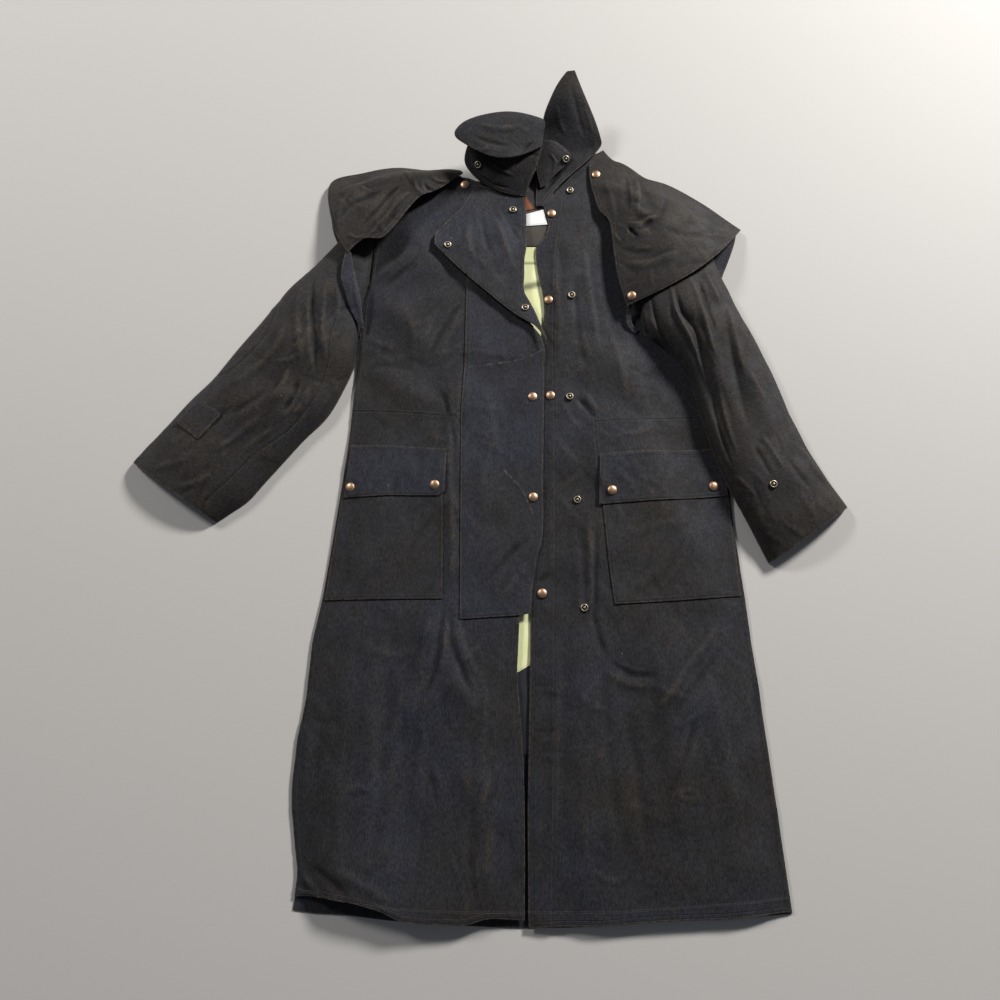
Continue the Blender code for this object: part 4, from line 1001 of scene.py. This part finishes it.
def scattered(rows, seed):
    random = np.random.default_rng(seed)
    made = []
    for count, low, high, heading, spread, length, half, rise in rows:
        made += scatterCreases(random, count, boxLow + boxSize * low, boxLow + boxSize * high, heading,
                               spread, length, half, rise)
    return made


def buildStack(front):
    # a front and what is sewn on it: the flaps are made from the front's own points, moved out
    names = front["stack"]
    works = {name: outerFace(name) for name in names}
    rings = [smoothRing(borderRing(works[name]), netSizes["spacing"]) for name in names]
    paths = {name: seenPath(pixels) for name, (pixels, _) in front["seams"].items()}
    marks = [seenPath(pixels) for pixels in front["scuffs"]]
    spots, faceSets = fineNet(rings, [*paths.values(), *marks])
    everyFace = np.unique(np.sort(np.concatenate(faceSets), axis=1), axis=0)
    raw = {}
    for name, faces in zip(names, faceSets):
        used = np.unique(faces)
        raw[name] = np.full(len(spots), np.nan)
        raw[name][used] = heightsOn(works[name], spots[used])
    base = raw[names[0]].copy()
    for name in names[1:]:
        lift = np.nanmedian(raw[name] - raw[names[0]])
        missing = np.isnan(base) & ~np.isnan(raw[name])
        base[missing] = raw[name][missing] - lift
    base[np.isnan(base)] = np.nanmedian(base)
    first = base.copy()
    base = relax(base, everyFace, 12)
    flat = np.column_stack([spots, base])
    below = topsBelow([surfaces[name] for name in clothPieces[names[0]]["on"]], flat)
    room = base - below - shellThickness
    free = 0.25 + 0.75 * ease(room, 0.6, 6.0)
    seen = seenPlane(flat, 14.0)
    rise = creaseField(seen, seenCreases(front["creases"]), front["seed"])
    rise += creaseField(flat, scattered(front["scatter"], front["seed"]), front["seed"] + 1)
    rise += slack(flat, front["seed"] + 2)
    base = np.maximum(base + rise * free, below + shellThickness + restGap)
    seamLines = [seenPath(pixels, step=1.0) for name, (pixels, _) in front["seams"].items() if name != "hem"]
    seam = gapsTo(treeOf(np.concatenate(seamLines)), spots)
    scuff = np.clip(1.0 - gapsTo(treeOf(np.concatenate(marks)), spots) / 3.0, 0.0, 1.0)
    for name, faces in zip(names, faceSets):
        used = np.unique(faces)
        local = np.searchsorted(used, faces)
        lift = relax((raw[name] - first)[used], local, 8)
        own = creaseField(seen[used], seenCreases(front["flapCreases"].get(name, ())), front["seed"] + 3)
        own = np.maximum(own, -0.5 * np.maximum(lift - 1.8, 0))
        points = np.column_stack([spots[used], base[used] + lift + own])
        for pixel, reach, move in front["nudges"].get(name, ()):
            near = np.linalg.norm(seen[used] - seenAt(*pixel), axis=1) / reach
            points += np.exp(-2.0 * near**2)[:, None] * np.array(move)
        plain = name != names[0]
        addPiece(name, points, local, seam=None if plain else seam[used],
                 scuff=scuff[used] * (name in front["scuffed"]))
        if not plain:
            for seamName, (pixels, sides) in front["seams"].items():
                signed, beside = sidedGap(points, paths[seamName])
                for side in sides:
                    addRuns(name, points, local, signed, side, beside)
    print(names[0], "and", len(names) - 1, "pieces sewn on it:", len(spots), "points")


# Bent pieces: sleeves, capes, collar and straps, made finer from their own CAD faces
bentPieces = {
    # node: creases in pixels, height for them, levels of refinement, grain, seed, and hollows in pixels where shade is
    # painted dark
    "sleeve_top_right": {
        "height": 36, "levels": 3, "grain": 52, "seed": 31,
        "seams": [
            [(337, 314.6), (330.4, 335.7), (327.6, 362.4), (319, 389.2), (303.7, 412.2), (286.4, 431.3),
             (253.9, 454.3), (234.8, 473.4), (206.1, 500.2), (202.3, 507.8)],
            [(280.7, 297.4), (261.6, 339.5), (232.9, 368.2), (217.6, 375.8)],
        ],
        "creases": [
            ([(315, 276), (311.3, 303), (313.2, 336), (316, 376)], 7, -7.5, 0.4),
            ([(302, 282), (297, 312), (299, 344), (300, 372)], 9, 3.6, 0.2),
            ([(326, 284), (322, 312), (323, 344), (325, 368)], 7, 4.0, 0.3),
            ([(299, 378), (292.2, 398.8), (280, 414)], 7, -6.0, 0.4),
            ([(289, 366), (280, 388), (266, 404)], 8, 3.4, 0.2),
            ([(310, 384), (303, 402), (290, 418)], 6, 2.6, 0.3),
            ([(336, 284), (338, 304), (334, 326)], 6, 3.0, 0.3),
            ([(286, 318), (276, 346), (250, 372), (226, 386)], 10, 2.4, 0.2),
            ([(270, 386), (250, 402), (222, 418)], 9, -2.4, 0.2),
            ([(262, 414), (238, 436), (208, 452)], 9, 2.6, 0.2),
            ([(238, 402), (212, 420), (186, 438)], 8, -1.8, 0.2),
            ([(282, 424), (256, 440), (236, 458)], 6, 1.6, 0.3),
            ([(214, 470), (194, 482), (172, 488)], 7, 1.6, 0.2),
            ([(196, 448), (176, 462), (150, 468)], 8, 1.5, 0.2),
            ([(302, 352), (290, 360), (274, 360)], 5, 1.6, 0.3),
            ([(306, 330), (296, 340), (284, 342)], 5, -1.6, 0.3),
            ([(196, 486), (184, 492), (172, 502)], 5, -1.6, 0.3),
        ],
        "scatter": [(110, (0.0, 0.40), (0.34, 0.82), 52, 30, (25, 100), (3, 8), (0.3, 1.1))],
    },
    "sleeve_top_left": {
        "height": 40, "levels": 3, "grain": -58, "seed": 37,
        "hollows": [([(631.9, 306), (638, 322), (646, 332)], 5)],
        "creases": [
            ([(658, 286), (670.2, 285), (676.3, 312.3), (691.6, 341.3), (708, 390)], 6, 5.0, 0.5),
            ([(675, 286), (682.5, 310.7), (695, 328), (704, 356)], 6, -5.5, 0.5),
            ([(687, 273), (697.8, 295.4), (711.5, 341.3), (719, 360)], 6, 5.0, 0.5),
            ([(697, 276), (707, 304), (717, 336)], 4, -4.0, 0.4),
            ([(703.9, 268), (713.1, 288), (722, 306)], 6, 4.0, 0.4),
            ([(649, 290), (661, 333.7), (684, 376)], 7, -5.5, 0.3),
            ([(642.7, 305), (651.8, 333.7), (660, 350)], 4, 2.6, 0.4),
            ([(631.9, 305), (638, 322), (647, 334)], 5, -5.0, 0.3),
            ([(664, 352), (684, 384), (700, 424)], 8, 2.6, 0.3),
            ([(712, 390), (718, 424), (734, 470)], 6, -3.6, 0.4),
            ([(718, 384), (726, 420), (738, 456)], 7, 3.2, 0.3),
            ([(726, 320), (738, 380), (750, 430)], 8, -2.8, 0.3),
            ([(726, 300), (736, 340), (748, 384)], 8, 2.4, 0.2),
            ([(748, 368), (758, 386), (768, 404)], 6, 2.2, 0.4),
            ([(760, 432), (773, 452), (786, 472)], 6, 2.4, 0.4),
            ([(752, 440), (764, 462), (774, 480)], 6, -2.4, 0.3),
            ([(794, 440), (809, 460), (831, 487)], 6, 3.0, 0.3),
            ([(784, 452), (800, 474), (814, 492)], 7, -2.4, 0.3),
            ([(735, 475), (746, 486), (758, 498)], 5, 1.6, 0.4),
            ([(700, 400), (716, 450), (736, 496)], 6, 2.4, 0.3),
            ([(780, 520), (800, 534), (812, 536)], 6, 1.2, 0.3),
        ],
        "scatter": [(110, (0.70, 0.36), (1.0, 0.80), -62, 26, (30, 110), (3, 8), (0.3, 1.1))],
    },
    "cuff_tab_right": {"height": 40, "levels": 4, "grain": 52, "seed": 41, "creases": [], "scatter": []},
    "cape_strap_right": {
        "height": 36, "levels": 3, "grain": 80, "seed": 43,
        "creases": [([(352, 262), (356, 290), (360, 318)], 5, 1.6, 0.3)],
        "scatter": [],
    },
    "cape_right": {
        "height": 46, "levels": 3, "grain": 20, "seed": 47,
        "hollows": [([(438, 222), (446, 214), (455, 203)], 5)],
        "creases": [
            ([(424, 182), (427, 188), (434, 191), (446, 190)], 4, -4.5, 0.4),
            ([(415, 178), (418, 190), (430, 196), (446, 195)], 5, 3.4, 0.3),
            ([(430, 176), (440, 182), (454, 181)], 5, 2.4, 0.3),
            ([(414, 190), (400, 200), (384, 220), (368, 236)], 6, 4.0, 0.4),
            ([(402, 184), (384, 200), (362, 226)], 7, -4.0, 0.3),
            ([(396, 176), (362, 184), (334, 194)], 7, 3.0, 0.3),
            ([(384, 190), (352, 204), (338, 222)], 8, -2.8, 0.3),
            ([(352, 186), (340, 210), (338, 238)], 6, 2.2, 0.3),
            ([(402, 208), (388, 222), (378, 236)], 5, -2.0, 0.3),
            ([(346, 232), (356, 238), (372, 237)], 5, 1.8, 0.4),
            ([(452, 190), (442, 204), (424, 212)], 6, 1.8, 0.3),
        ],
        "scatter": [(30, (0.25, 0.78), (0.47, 0.92), 160, 40, (25, 70), (3, 7), (0.3, 1.0))],
    },
    "cape_strap_left": {"height": 18, "levels": 3, "grain": 80, "seed": 53, "creases": [], "scatter": []},
    "cape_left": {
        "height": 46, "levels": 3, "grain": -35, "seed": 59,
        "hollows": [([(629, 226), (633, 231), (638, 237)], 4)],
        "creases": [
            ([(628, 227), (632, 231), (638, 237)], 4, -6.0, 0.3),
            ([(625, 221.9), (636.5, 223.5), (645.7, 220.4), (660, 213)], 6, 3.0, 0.3),
            ([(634, 230.5), (644, 226), (654, 218)], 5, -2.6, 0.3),
            ([(626, 176), (628.5, 194), (629, 212)], 8, -2.2, 0.2),
            ([(637, 178), (639, 196), (636.5, 215)], 6, 2.2, 0.3),
            ([(604, 178), (612, 200), (616, 226)], 8, 1.6, 0.2),
            ([(646, 190), (676, 204), (704, 224)], 12, 1.8, 0.1),
            ([(660, 226), (684, 234), (712, 232)], 10, -1.8, 0.2),
            ([(624, 262), (648, 262), (684, 250)], 9, 2.0, 0.2),
            ([(618, 246), (636, 252), (656, 250)], 7, -1.6, 0.2),
            ([(606, 214), (612, 232), (624, 244)], 6, 1.8, 0.3),
        ],
        "scatter": [(36, (0.62, 0.68), (0.88, 0.92), -35, 40, (30, 90), (4, 9), (0.2, 0.7))],
    },
    "collar_leaf_left": {
        "height": 40, "levels": 3, "corners": "ALL", "grain": 70, "seed": 73,
        "hollows": [([(572, 160), (560, 172), (546, 190)], 4)],
        "creases": [
            ([(572, 159), (560, 171), (544, 192)], 5, -4.0, 0.4),
            ([(571, 82), (576, 104), (586, 140)], 8, -1.6, 0.2),
            ([(580, 86), (587, 112), (594, 138)], 6, 1.2, 0.3),
            ([(556, 104), (560, 122), (566, 138)], 6, 1.2, 0.3),
        ],
        "scatter": [(10, (0.55, 0.86), (0.68, 1.0), 80, 30, (20, 60), (3, 6), (0.2, 0.6))],
    },
    "collar_stand_right": {
        "height": 34, "levels": 4, "grain": 0, "seed": 61,
        "creases": [
            ([(535, 139), (524, 154), (513, 169)], 4, -2.0, 0.4),
            ([(486, 160), (500, 170), (516, 176)], 6, 1.6, 0.3),
            ([(478, 172), (494, 184), (512, 188)], 4, -1.2, 0.3),
        ],
        "scatter": [(10, (0.44, 0.82), (0.60, 0.94), 10, 40, (20, 60), (3, 6), (0.2, 0.6))],
    },
    "collar_leaf_right": {
        "height": 62, "levels": 3, "grain": 0, "seed": 67,
        "joinedPast": ((497.4, 158.7), (512, 120)),
        "creases": [
            ([(534.4, 139.6), (522.8, 152.9), (517.8, 166.1)], 5, -2.6, 0.4),
            ([(476, 122), (496, 128), (520, 126)], 8, 1.6, 0.2),
            ([(470, 134), (490, 142), (512, 146)], 7, -1.4, 0.2),
        ],
        "scatter": [(12, (0.44, 0.86), (0.60, 0.96), 10, 40, (20, 60), (3, 7), (0.2, 0.7))],
    },
    "throat_tab": {
        "height": 30, "levels": 4, "grain": 60, "seed": 71,
        "creases": [([(548, 150), (556, 162), (552, 178)], 4, 1.4, 0.3)],
        "scatter": [],
    },
}


def finerFace(node, levels, corners):
    # points and triangles, in millimetres, of a CAD outer face with smooth curvature
    work = outerFace(node)
    flatTurn = math.radians(75.0)
    bmesh.ops.join_triangles(work, faces=work.faces, angle_face_threshold=flatTurn,
                             angle_shape_threshold=flatTurn)
    mesh = bpy.data.meshes.new("work")
    work.to_mesh(mesh)
    helper = bpy.data.objects.new("work", mesh)
    bpy.context.scene.collection.objects.link(helper)
    finer = helper.modifiers.new("finer", "SUBSURF")
    finer.levels = finer.render_levels = levels
    finer.boundary_smooth = corners
    depsgraph = bpy.context.evaluated_depsgraph_get()
    result = helper.evaluated_get(depsgraph).to_mesh()
    result.calc_loop_triangles()
    points = np.array([v.co for v in result.vertices]) / mm
    faces = np.array([tri.vertices for tri in result.loop_triangles])
    bpy.data.objects.remove(helper)
    return points, faces


def buildBent(node):
    plan = bentPieces[node]
    points, faces = finerFace(node, plan["levels"], plan.get("corners", "PRESERVE_CORNERS"))
    edge = borderGap(points, faces)
    hold = ease(edge, 0.0, 14.0) if node.startswith("sleeve") else 0.35 + 0.65 * ease(edge, 0.0, 10.0)
    seen = seenPlane(points, plan["height"])
    rise = creaseField(seen, seenCreases(plan["creases"], plan["height"]), plan["seed"])
    rise += creaseField(points, scattered(plan["scatter"], plan["seed"]), plan["seed"] + 1)
    rise += slack(points, plan["seed"] + 2, 90.0, 0.6)
    normals = normalsOf(points, faces)
    points = points + normals * (rise * hold)[:, None]
    carriers = [surfaces[name] for name in clothPieces[node]["on"] if name in surfaces]
    joined = None
    if not node.startswith("sleeve"):
        least = topsBelow(carriers, points) + shellThickness + restGap
        if "joinedPast" in plan:
            # sewn in past a line that the photo shows, so with no row of stitches there
            first, second = (np.array(seenAt(*pixel, plan["height"])) for pixel in plan["joinedPast"])
            run = (second - first) / np.linalg.norm(second - first)
            offset = seen - first
            over = run[0] * offset[:, 1] - run[1] * offset[:, 0]
            joined = ease(-over, -8.0, 14.0)
        points[:, 2] = np.maximum(points[:, 2], least)
    seam = None
    if "seams" in plan:
        lines = [seenPath(pixels, plan["height"], 1.0) for pixels in plan["seams"]]
        seam = gapsTo(treeOf(np.concatenate(lines)), seen)
        points -= normals * (0.7 * np.exp(-(seam / 2.2) ** 2))[:, None]
        for line in lines:
            signed, beside = sidedGap(np.column_stack([seen, points[:, 2]]), line)
            addRuns(node, points, faces, signed, 2.6, beside)
    # painted shade: dark laid along each listed hollow
    shade = 0.0
    for pixels, half in plan.get("hollows", ()):
        gap = gapsTo(treeOf(seenPath(pixels, plan["height"], 2.0)), seen)
        shade = np.maximum(shade, np.exp(-(gap / half) ** 2))
    addPiece(node, points, faces, degrees=plan["grain"], seam=seam, shade=shade, joined=joined)


def buildCoat():
    buildFlat("cape_back", 14.0)
    buildFlat("back", 9.0)
    buildFlat("lining_pale", 5.0, paleRise, bindingAndShadow=liningBindingAndShadow)
    buildFlat("lining_navy", 5.0, navyRise)
    buildFlat("neck_facing", 4.0)
    buildFlat("label_leather", 2.5, bindingAndShadow=labelShade)
    buildFlat("label_white", 2.5)
    print("back, linings and labels made")
    buildFlat("sleeve_under_right", 9.0)
    buildStack(rightFront)
    buildStack(leftFront)
    buildFlat("sleeve_under_left", 9.0)
    for node in bentPieces:
        buildBent(node)
    print("sleeves, capes and collar made")


# The pale lining: the binding that crosses it and a band of painted shadow, in pixels of the photo, and its own soft
# folds
liningBindingShadowRows = (264.5, 286.0)
bandColumn = 532
liningCreases = [
    ([(534, 268), (530, 276), (528, 288)], 5, 0.5, 0.3),
    ([(540, 292), (538, 310), (542, 330)], 4, 0.6, 0.3),
    ([(521, 615), (526, 636), (524, 660)], 5, 0.6, 0.3),
]
navyCreases = [
    ([(519, 676), (524, 700), (520, 730)], 4, 1.0, 0.4),
    ([(526, 668), (521, 690), (526, 716)], 4, -0.4, 0.4),
]


def paleRise(spots, edge):
    return creaseField(spots, seenCreases(liningCreases, 4), 5) * ease(edge, 0.0, 8.0)


def navyRise(spots, edge):
    return creaseField(spots, seenCreases(navyCreases, 4), 7) * ease(edge, 0.0, 8.0)


def liningBindingAndShadow(points):
    # share of dark binding, and of a slanted band of painted shadow, at each point of the pale lining
    narrow, shadowLine = (np.array(seenAt(bandColumn, py, 4)) for py in liningBindingShadowRows)
    slant = points[:, 1] - shadowLine[1] - 0.25 * (points[:, 0] - shadowLine[0])
    return np.maximum(np.clip(1.6 - np.abs(points[:, 1] - narrow[1]) / 1.6, 0.0, 1.0),
                      0.7 * np.clip(1.5 - np.abs(slant) / 6.0, 0.0, 1.0))


labelShadow = ((524.5, 195), (536.5, 213))  # the shadow's edge, pixels


def labelShade(points):
    # painted shadow: the leather label shows below the collar's shadow, painted dark above its line, which runs down
    # to the right
    first, second = (np.array(seenAt(*pixel, 6)) for pixel in labelShadow)
    run = (second - first) / np.linalg.norm(second - first)
    offset = points[:, :2] - first
    return np.clip(0.5 + (run[0] * offset[:, 1] - run[1] * offset[:, 0]) / 2.0, 0.0, 1.0)


buildCoat()


# Snaps: worn copper caps and aged brass rings with sockets painted near black as shade, placed where the CAD's turned
# pieces lie
snapPlans = {
    "copperCap": {
        "prefix": "cap_", "piece": "copper_caps", "slot": "copper_cap",
        # radius and height of the profile in mm, from the seat up to the crown
        "profile": [(7.3, 0.0), (7.6, 0.35), (7.55, 0.9), (7.2, 1.25), (6.6, 1.55), (5.6, 2.15), (4.3, 2.65),
                    (2.9, 2.95), (1.4, 3.08), (0.0, 3.1)],
        "ageAndShade": [0.8, 0.6, 0.55, 0.45, 0.3, 0.1, 0.0, 0.05, 0.15, 0.2],
    },
    "brassStud": {
        "prefix": "stud_", "piece": "brass_studs", "slot": "brass_stud",
        "profile": [(6.0, 0.0), (6.2, 0.3), (6.2, 0.95), (5.9, 1.45), (5.3, 1.75), (4.6, 1.8), (4.1, 1.45),
                    (3.9, 0.7), (3.4, 0.45), (2.5, 0.5), (2.2, 0.8), (2.0, 1.9), (1.8, 2.35), (1.2, 2.6), (0.0, 2.65)],
        # share of the dark tone: the socket's near black is painted shade
        "ageAndShade": [0.9, 0.6, 0.4, 0.1, 0.0, 0.1, 0.6, 1.0, 1.0, 1.0, 0.9, 0.3, 0.1, 0.1, 0.2],
    },
}
snapSides = 28


def snapSeat(node):
    # middle of a turned CAD piece's seat and its axis
    spots = np.array([v.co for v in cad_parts[node].data.vertices])
    spots = np.unique(np.round(spots, 6), axis=0)
    middle = spots.mean(0)
    axis = np.linalg.svd(spots - middle)[2][2]
    axis = axis if axis[2] > 0 else -axis
    return middle + axis * ((spots - middle) @ axis).min(), axis


def turnedPiece(name, profile, ageAndShadeShares):
    # lathe of a profile about Z, closed below
    work = bmesh.new()
    rings = []
    for radius, level in profile:
        turns = [math.tau * k / snapSides for k in range(snapSides)] if radius > 0 else [0.0]
        rings.append([work.verts.new((radius * math.cos(a) * mm, radius * math.sin(a) * mm, level * mm))
                      for a in turns])
    for low, high in zip(rings, rings[1:]):
        for k in range(snapSides):
            after = (k + 1) % snapSides
            if len(high) == 1:
                work.faces.new((low[k], low[after], high[0]))
            else:
                work.faces.new((low[k], low[after], high[after], high[k]))
    work.faces.new(rings[0][::-1])
    mesh = bpy.data.meshes.new(name)
    work.to_mesh(mesh)
    mesh.shade_smooth()
    layer = mesh.attributes.new("ageAndShade", "FLOAT", "POINT")
    layer.data.foreach_set("value", [ageAndShade for ring, ageAndShade in zip(rings, ageAndShadeShares) for _ in ring])
    made = bpy.data.objects.new(name, mesh)
    bpy.context.scene.collection.objects.link(made)
    return made


def instanceTree(name, inputs):
    # an empty Geometry Nodes tree with named inputs; returns the tree, its input node and sockets
    tree = bpy.data.node_groups.new(name, "GeometryNodeTree")
    tree.interface.new_socket(name="Geometry", in_out="INPUT", socket_type="NodeSocketGeometry")
    tree.interface.new_socket(name="Geometry", in_out="OUTPUT", socket_type="NodeSocketGeometry")
    sockets = {}
    for label, kind in inputs.items():
        sockets[label] = tree.interface.new_socket(name=label, in_out="INPUT", socket_type=kind).identifier
    return tree, tree.nodes.new("NodeGroupInput"), sockets


def standUp(tree, aim, axis, pivot="AUTO", start=None):
    # rotation that turns an instance's axis along a vector
    node = tree.nodes.new("FunctionNodeAlignRotationToVector")
    node.axis = axis
    node.pivot_axis = pivot
    tree.links.new(aim, node.inputs["Vector"])
    if start:
        tree.links.new(start, node.inputs["Rotation"])
    return node.outputs[0]


def namedVector(tree, name):
    node = tree.nodes.new("GeometryNodeInputNamedAttribute")
    node.data_type = "FLOAT_VECTOR"
    node.inputs["Name"].default_value = name
    return node.outputs[0]


def endTree(tree, geometry, material):
    # realize the instances and give them their finish
    real = tree.nodes.new("GeometryNodeRealizeInstances")
    paint = tree.nodes.new("GeometryNodeSetMaterial")
    out = tree.nodes.new("NodeGroupOutput")
    tree.links.new(geometry, real.inputs[0])
    tree.links.new(real.outputs[0], paint.inputs["Geometry"])
    tree.links.new(material, paint.inputs["Material"])
    tree.links.new(paint.outputs[0], out.inputs[0])


def settled(name, carrier, tree, values):
    # evaluates a tree on its carrier and keeps the result as a plain mesh
    modifier = carrier.modifiers.new("nodes", "NODES")
    modifier.node_group = tree
    for identifier, value in values.items():
        modifier[identifier] = value
    depsgraph = bpy.context.evaluated_depsgraph_get()
    mesh = bpy.data.meshes.new_from_object(carrier.evaluated_get(depsgraph))
    mesh.name = name
    bpy.data.objects.remove(carrier)
    made = bpy.data.objects.new(name, mesh)
    bpy.context.scene.collection.objects.link(made)
    return made


def snapTree():
    tree, start, sockets = instanceTree("setSnaps", {
        "Snap": "NodeSocketObject", "Scale": "NodeSocketFloat", "Material": "NodeSocketMaterial"})
    source = tree.nodes.new("GeometryNodeObjectInfo")
    tree.links.new(start.outputs["Snap"], source.inputs["Object"])
    setOn = tree.nodes.new("GeometryNodeInstanceOnPoints")
    tree.links.new(start.outputs["Geometry"], setOn.inputs["Points"])
    tree.links.new(source.outputs["Geometry"], setOn.inputs["Instance"])
    tree.links.new(standUp(tree, namedVector(tree, "up"), "Z"), setOn.inputs["Rotation"])
    tree.links.new(start.outputs["Scale"], setOn.inputs["Scale"])
    endTree(tree, setOn.outputs[0], start.outputs["Material"])
    return tree, sockets


def carrierMesh(name, places, ups, edges=()):
    mesh = bpy.data.meshes.new(name)
    mesh.from_pydata([tuple(p) for p in places], list(edges), [])
    layer = mesh.attributes.new("up", "FLOAT_VECTOR", "POINT")
    layer.data.foreach_set("vector", np.array(ups, np.float32).ravel())
    carrier = bpy.data.objects.new(name, mesh)
    bpy.context.scene.collection.objects.link(carrier)
    return carrier


def buildSnaps():
    tree, sockets = snapTree()
    for finish, plan in snapPlans.items():
        nodes = sorted(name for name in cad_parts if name.startswith(plan["prefix"]))
        seats = [snapSeat(name) for name in nodes]
        master = turnedPiece(finish + "Master", plan["profile"], plan["ageAndShade"])
        carrier = carrierMesh(finish + "Seats", [seat for seat, _ in seats], [up for _, up in seats])
        values = {sockets["Snap"]: master, sockets["Scale"]: 1.0, sockets["Material"]: finishes[finish]}
        piece = settled(plan["piece"], carrier, tree, values)
        bpy.data.objects.remove(master)
        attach(piece, "root")
        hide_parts(*nodes)
    print("snaps set")


# Stitches: tonal thread along the rows found above
stitching = {"pitch": 3.4, "length": 2.5, "width": 0.62, "lift": 0.05, "seed": 3}


def stitchTree():
    tree, start, sockets = instanceTree("sewRows", {
        "Pitch": "NodeSocketFloat", "Stitch Length": "NodeSocketFloat", "Thread Width": "NodeSocketFloat",
        "Seed": "NodeSocketInt", "Material": "NodeSocketMaterial"})
    curve = tree.nodes.new("GeometryNodeMeshToCurve")
    tree.links.new(start.outputs["Geometry"], curve.inputs[0])
    even = tree.nodes.new("GeometryNodeResampleCurve")
    even.mode = "LENGTH"
    tree.links.new(curve.outputs[0], even.inputs["Curve"])
    tree.links.new(start.outputs["Pitch"], even.inputs["Length"])
    bead = tree.nodes.new("GeometryNodeMeshIcoSphere")
    bead.inputs["Radius"].default_value = 0.5
    bead.inputs["Subdivisions"].default_value = 1
    size = tree.nodes.new("ShaderNodeCombineXYZ")
    tree.links.new(start.outputs["Stitch Length"], size.inputs[0])
    tree.links.new(start.outputs["Thread Width"], size.inputs[1])
    tree.links.new(start.outputs["Thread Width"], size.inputs[2])
    loose = tree.nodes.new("FunctionNodeRandomValue")
    loose.data_type = "FLOAT"
    loose.inputs[2].default_value = 0.8
    loose.inputs[3].default_value = 1.1
    tree.links.new(start.outputs["Seed"], loose.inputs["Seed"])
    uneven = tree.nodes.new("ShaderNodeVectorMath")
    uneven.operation = "SCALE"
    tree.links.new(size.outputs[0], uneven.inputs[0])
    tree.links.new(loose.outputs[1], uneven.inputs["Scale"])
    setOn = tree.nodes.new("GeometryNodeInstanceOnPoints")
    tree.links.new(even.outputs[0], setOn.inputs["Points"])
    tree.links.new(bead.outputs["Mesh"], setOn.inputs["Instance"])
    tangent = tree.nodes.new("GeometryNodeInputTangent")
    ahead = standUp(tree, tangent.outputs[0], "X")
    tree.links.new(standUp(tree, namedVector(tree, "up"), "Z", "X", ahead), setOn.inputs["Rotation"])
    tree.links.new(uneven.outputs[0], setOn.inputs["Scale"])
    endTree(tree, setOn.outputs[0], start.outputs["Material"])
    return tree, sockets


def buildStitches():
    tree, sockets = stitchTree()
    for group, runs in stitchRuns.items():
        places = []
        ups = []
        edges = []
        for run in runs:
            first = len(places)
            for place, up in run:
                places.append((place + up * stitching["lift"]) * mm)
                ups.append(up)
            edges += [(k, k + 1) for k in range(first, len(places) - 1)]
        carrier = carrierMesh(group + "Rows", places, ups, edges)
        values = {
            sockets["Pitch"]: stitching["pitch"] * mm,
            sockets["Stitch Length"]: stitching["length"] * mm,
            sockets["Thread Width"]: stitching["width"] * mm,
            sockets["Seed"]: stitching["seed"],
            sockets["Material"]: finishes["tonalThread"],
        }
        piece = settled(group + "_stitches", carrier, tree, values)
        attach(piece, "root")
    print("rows sewn on", len(stitchRuns), "pieces")


buildSnaps()
buildStitches()
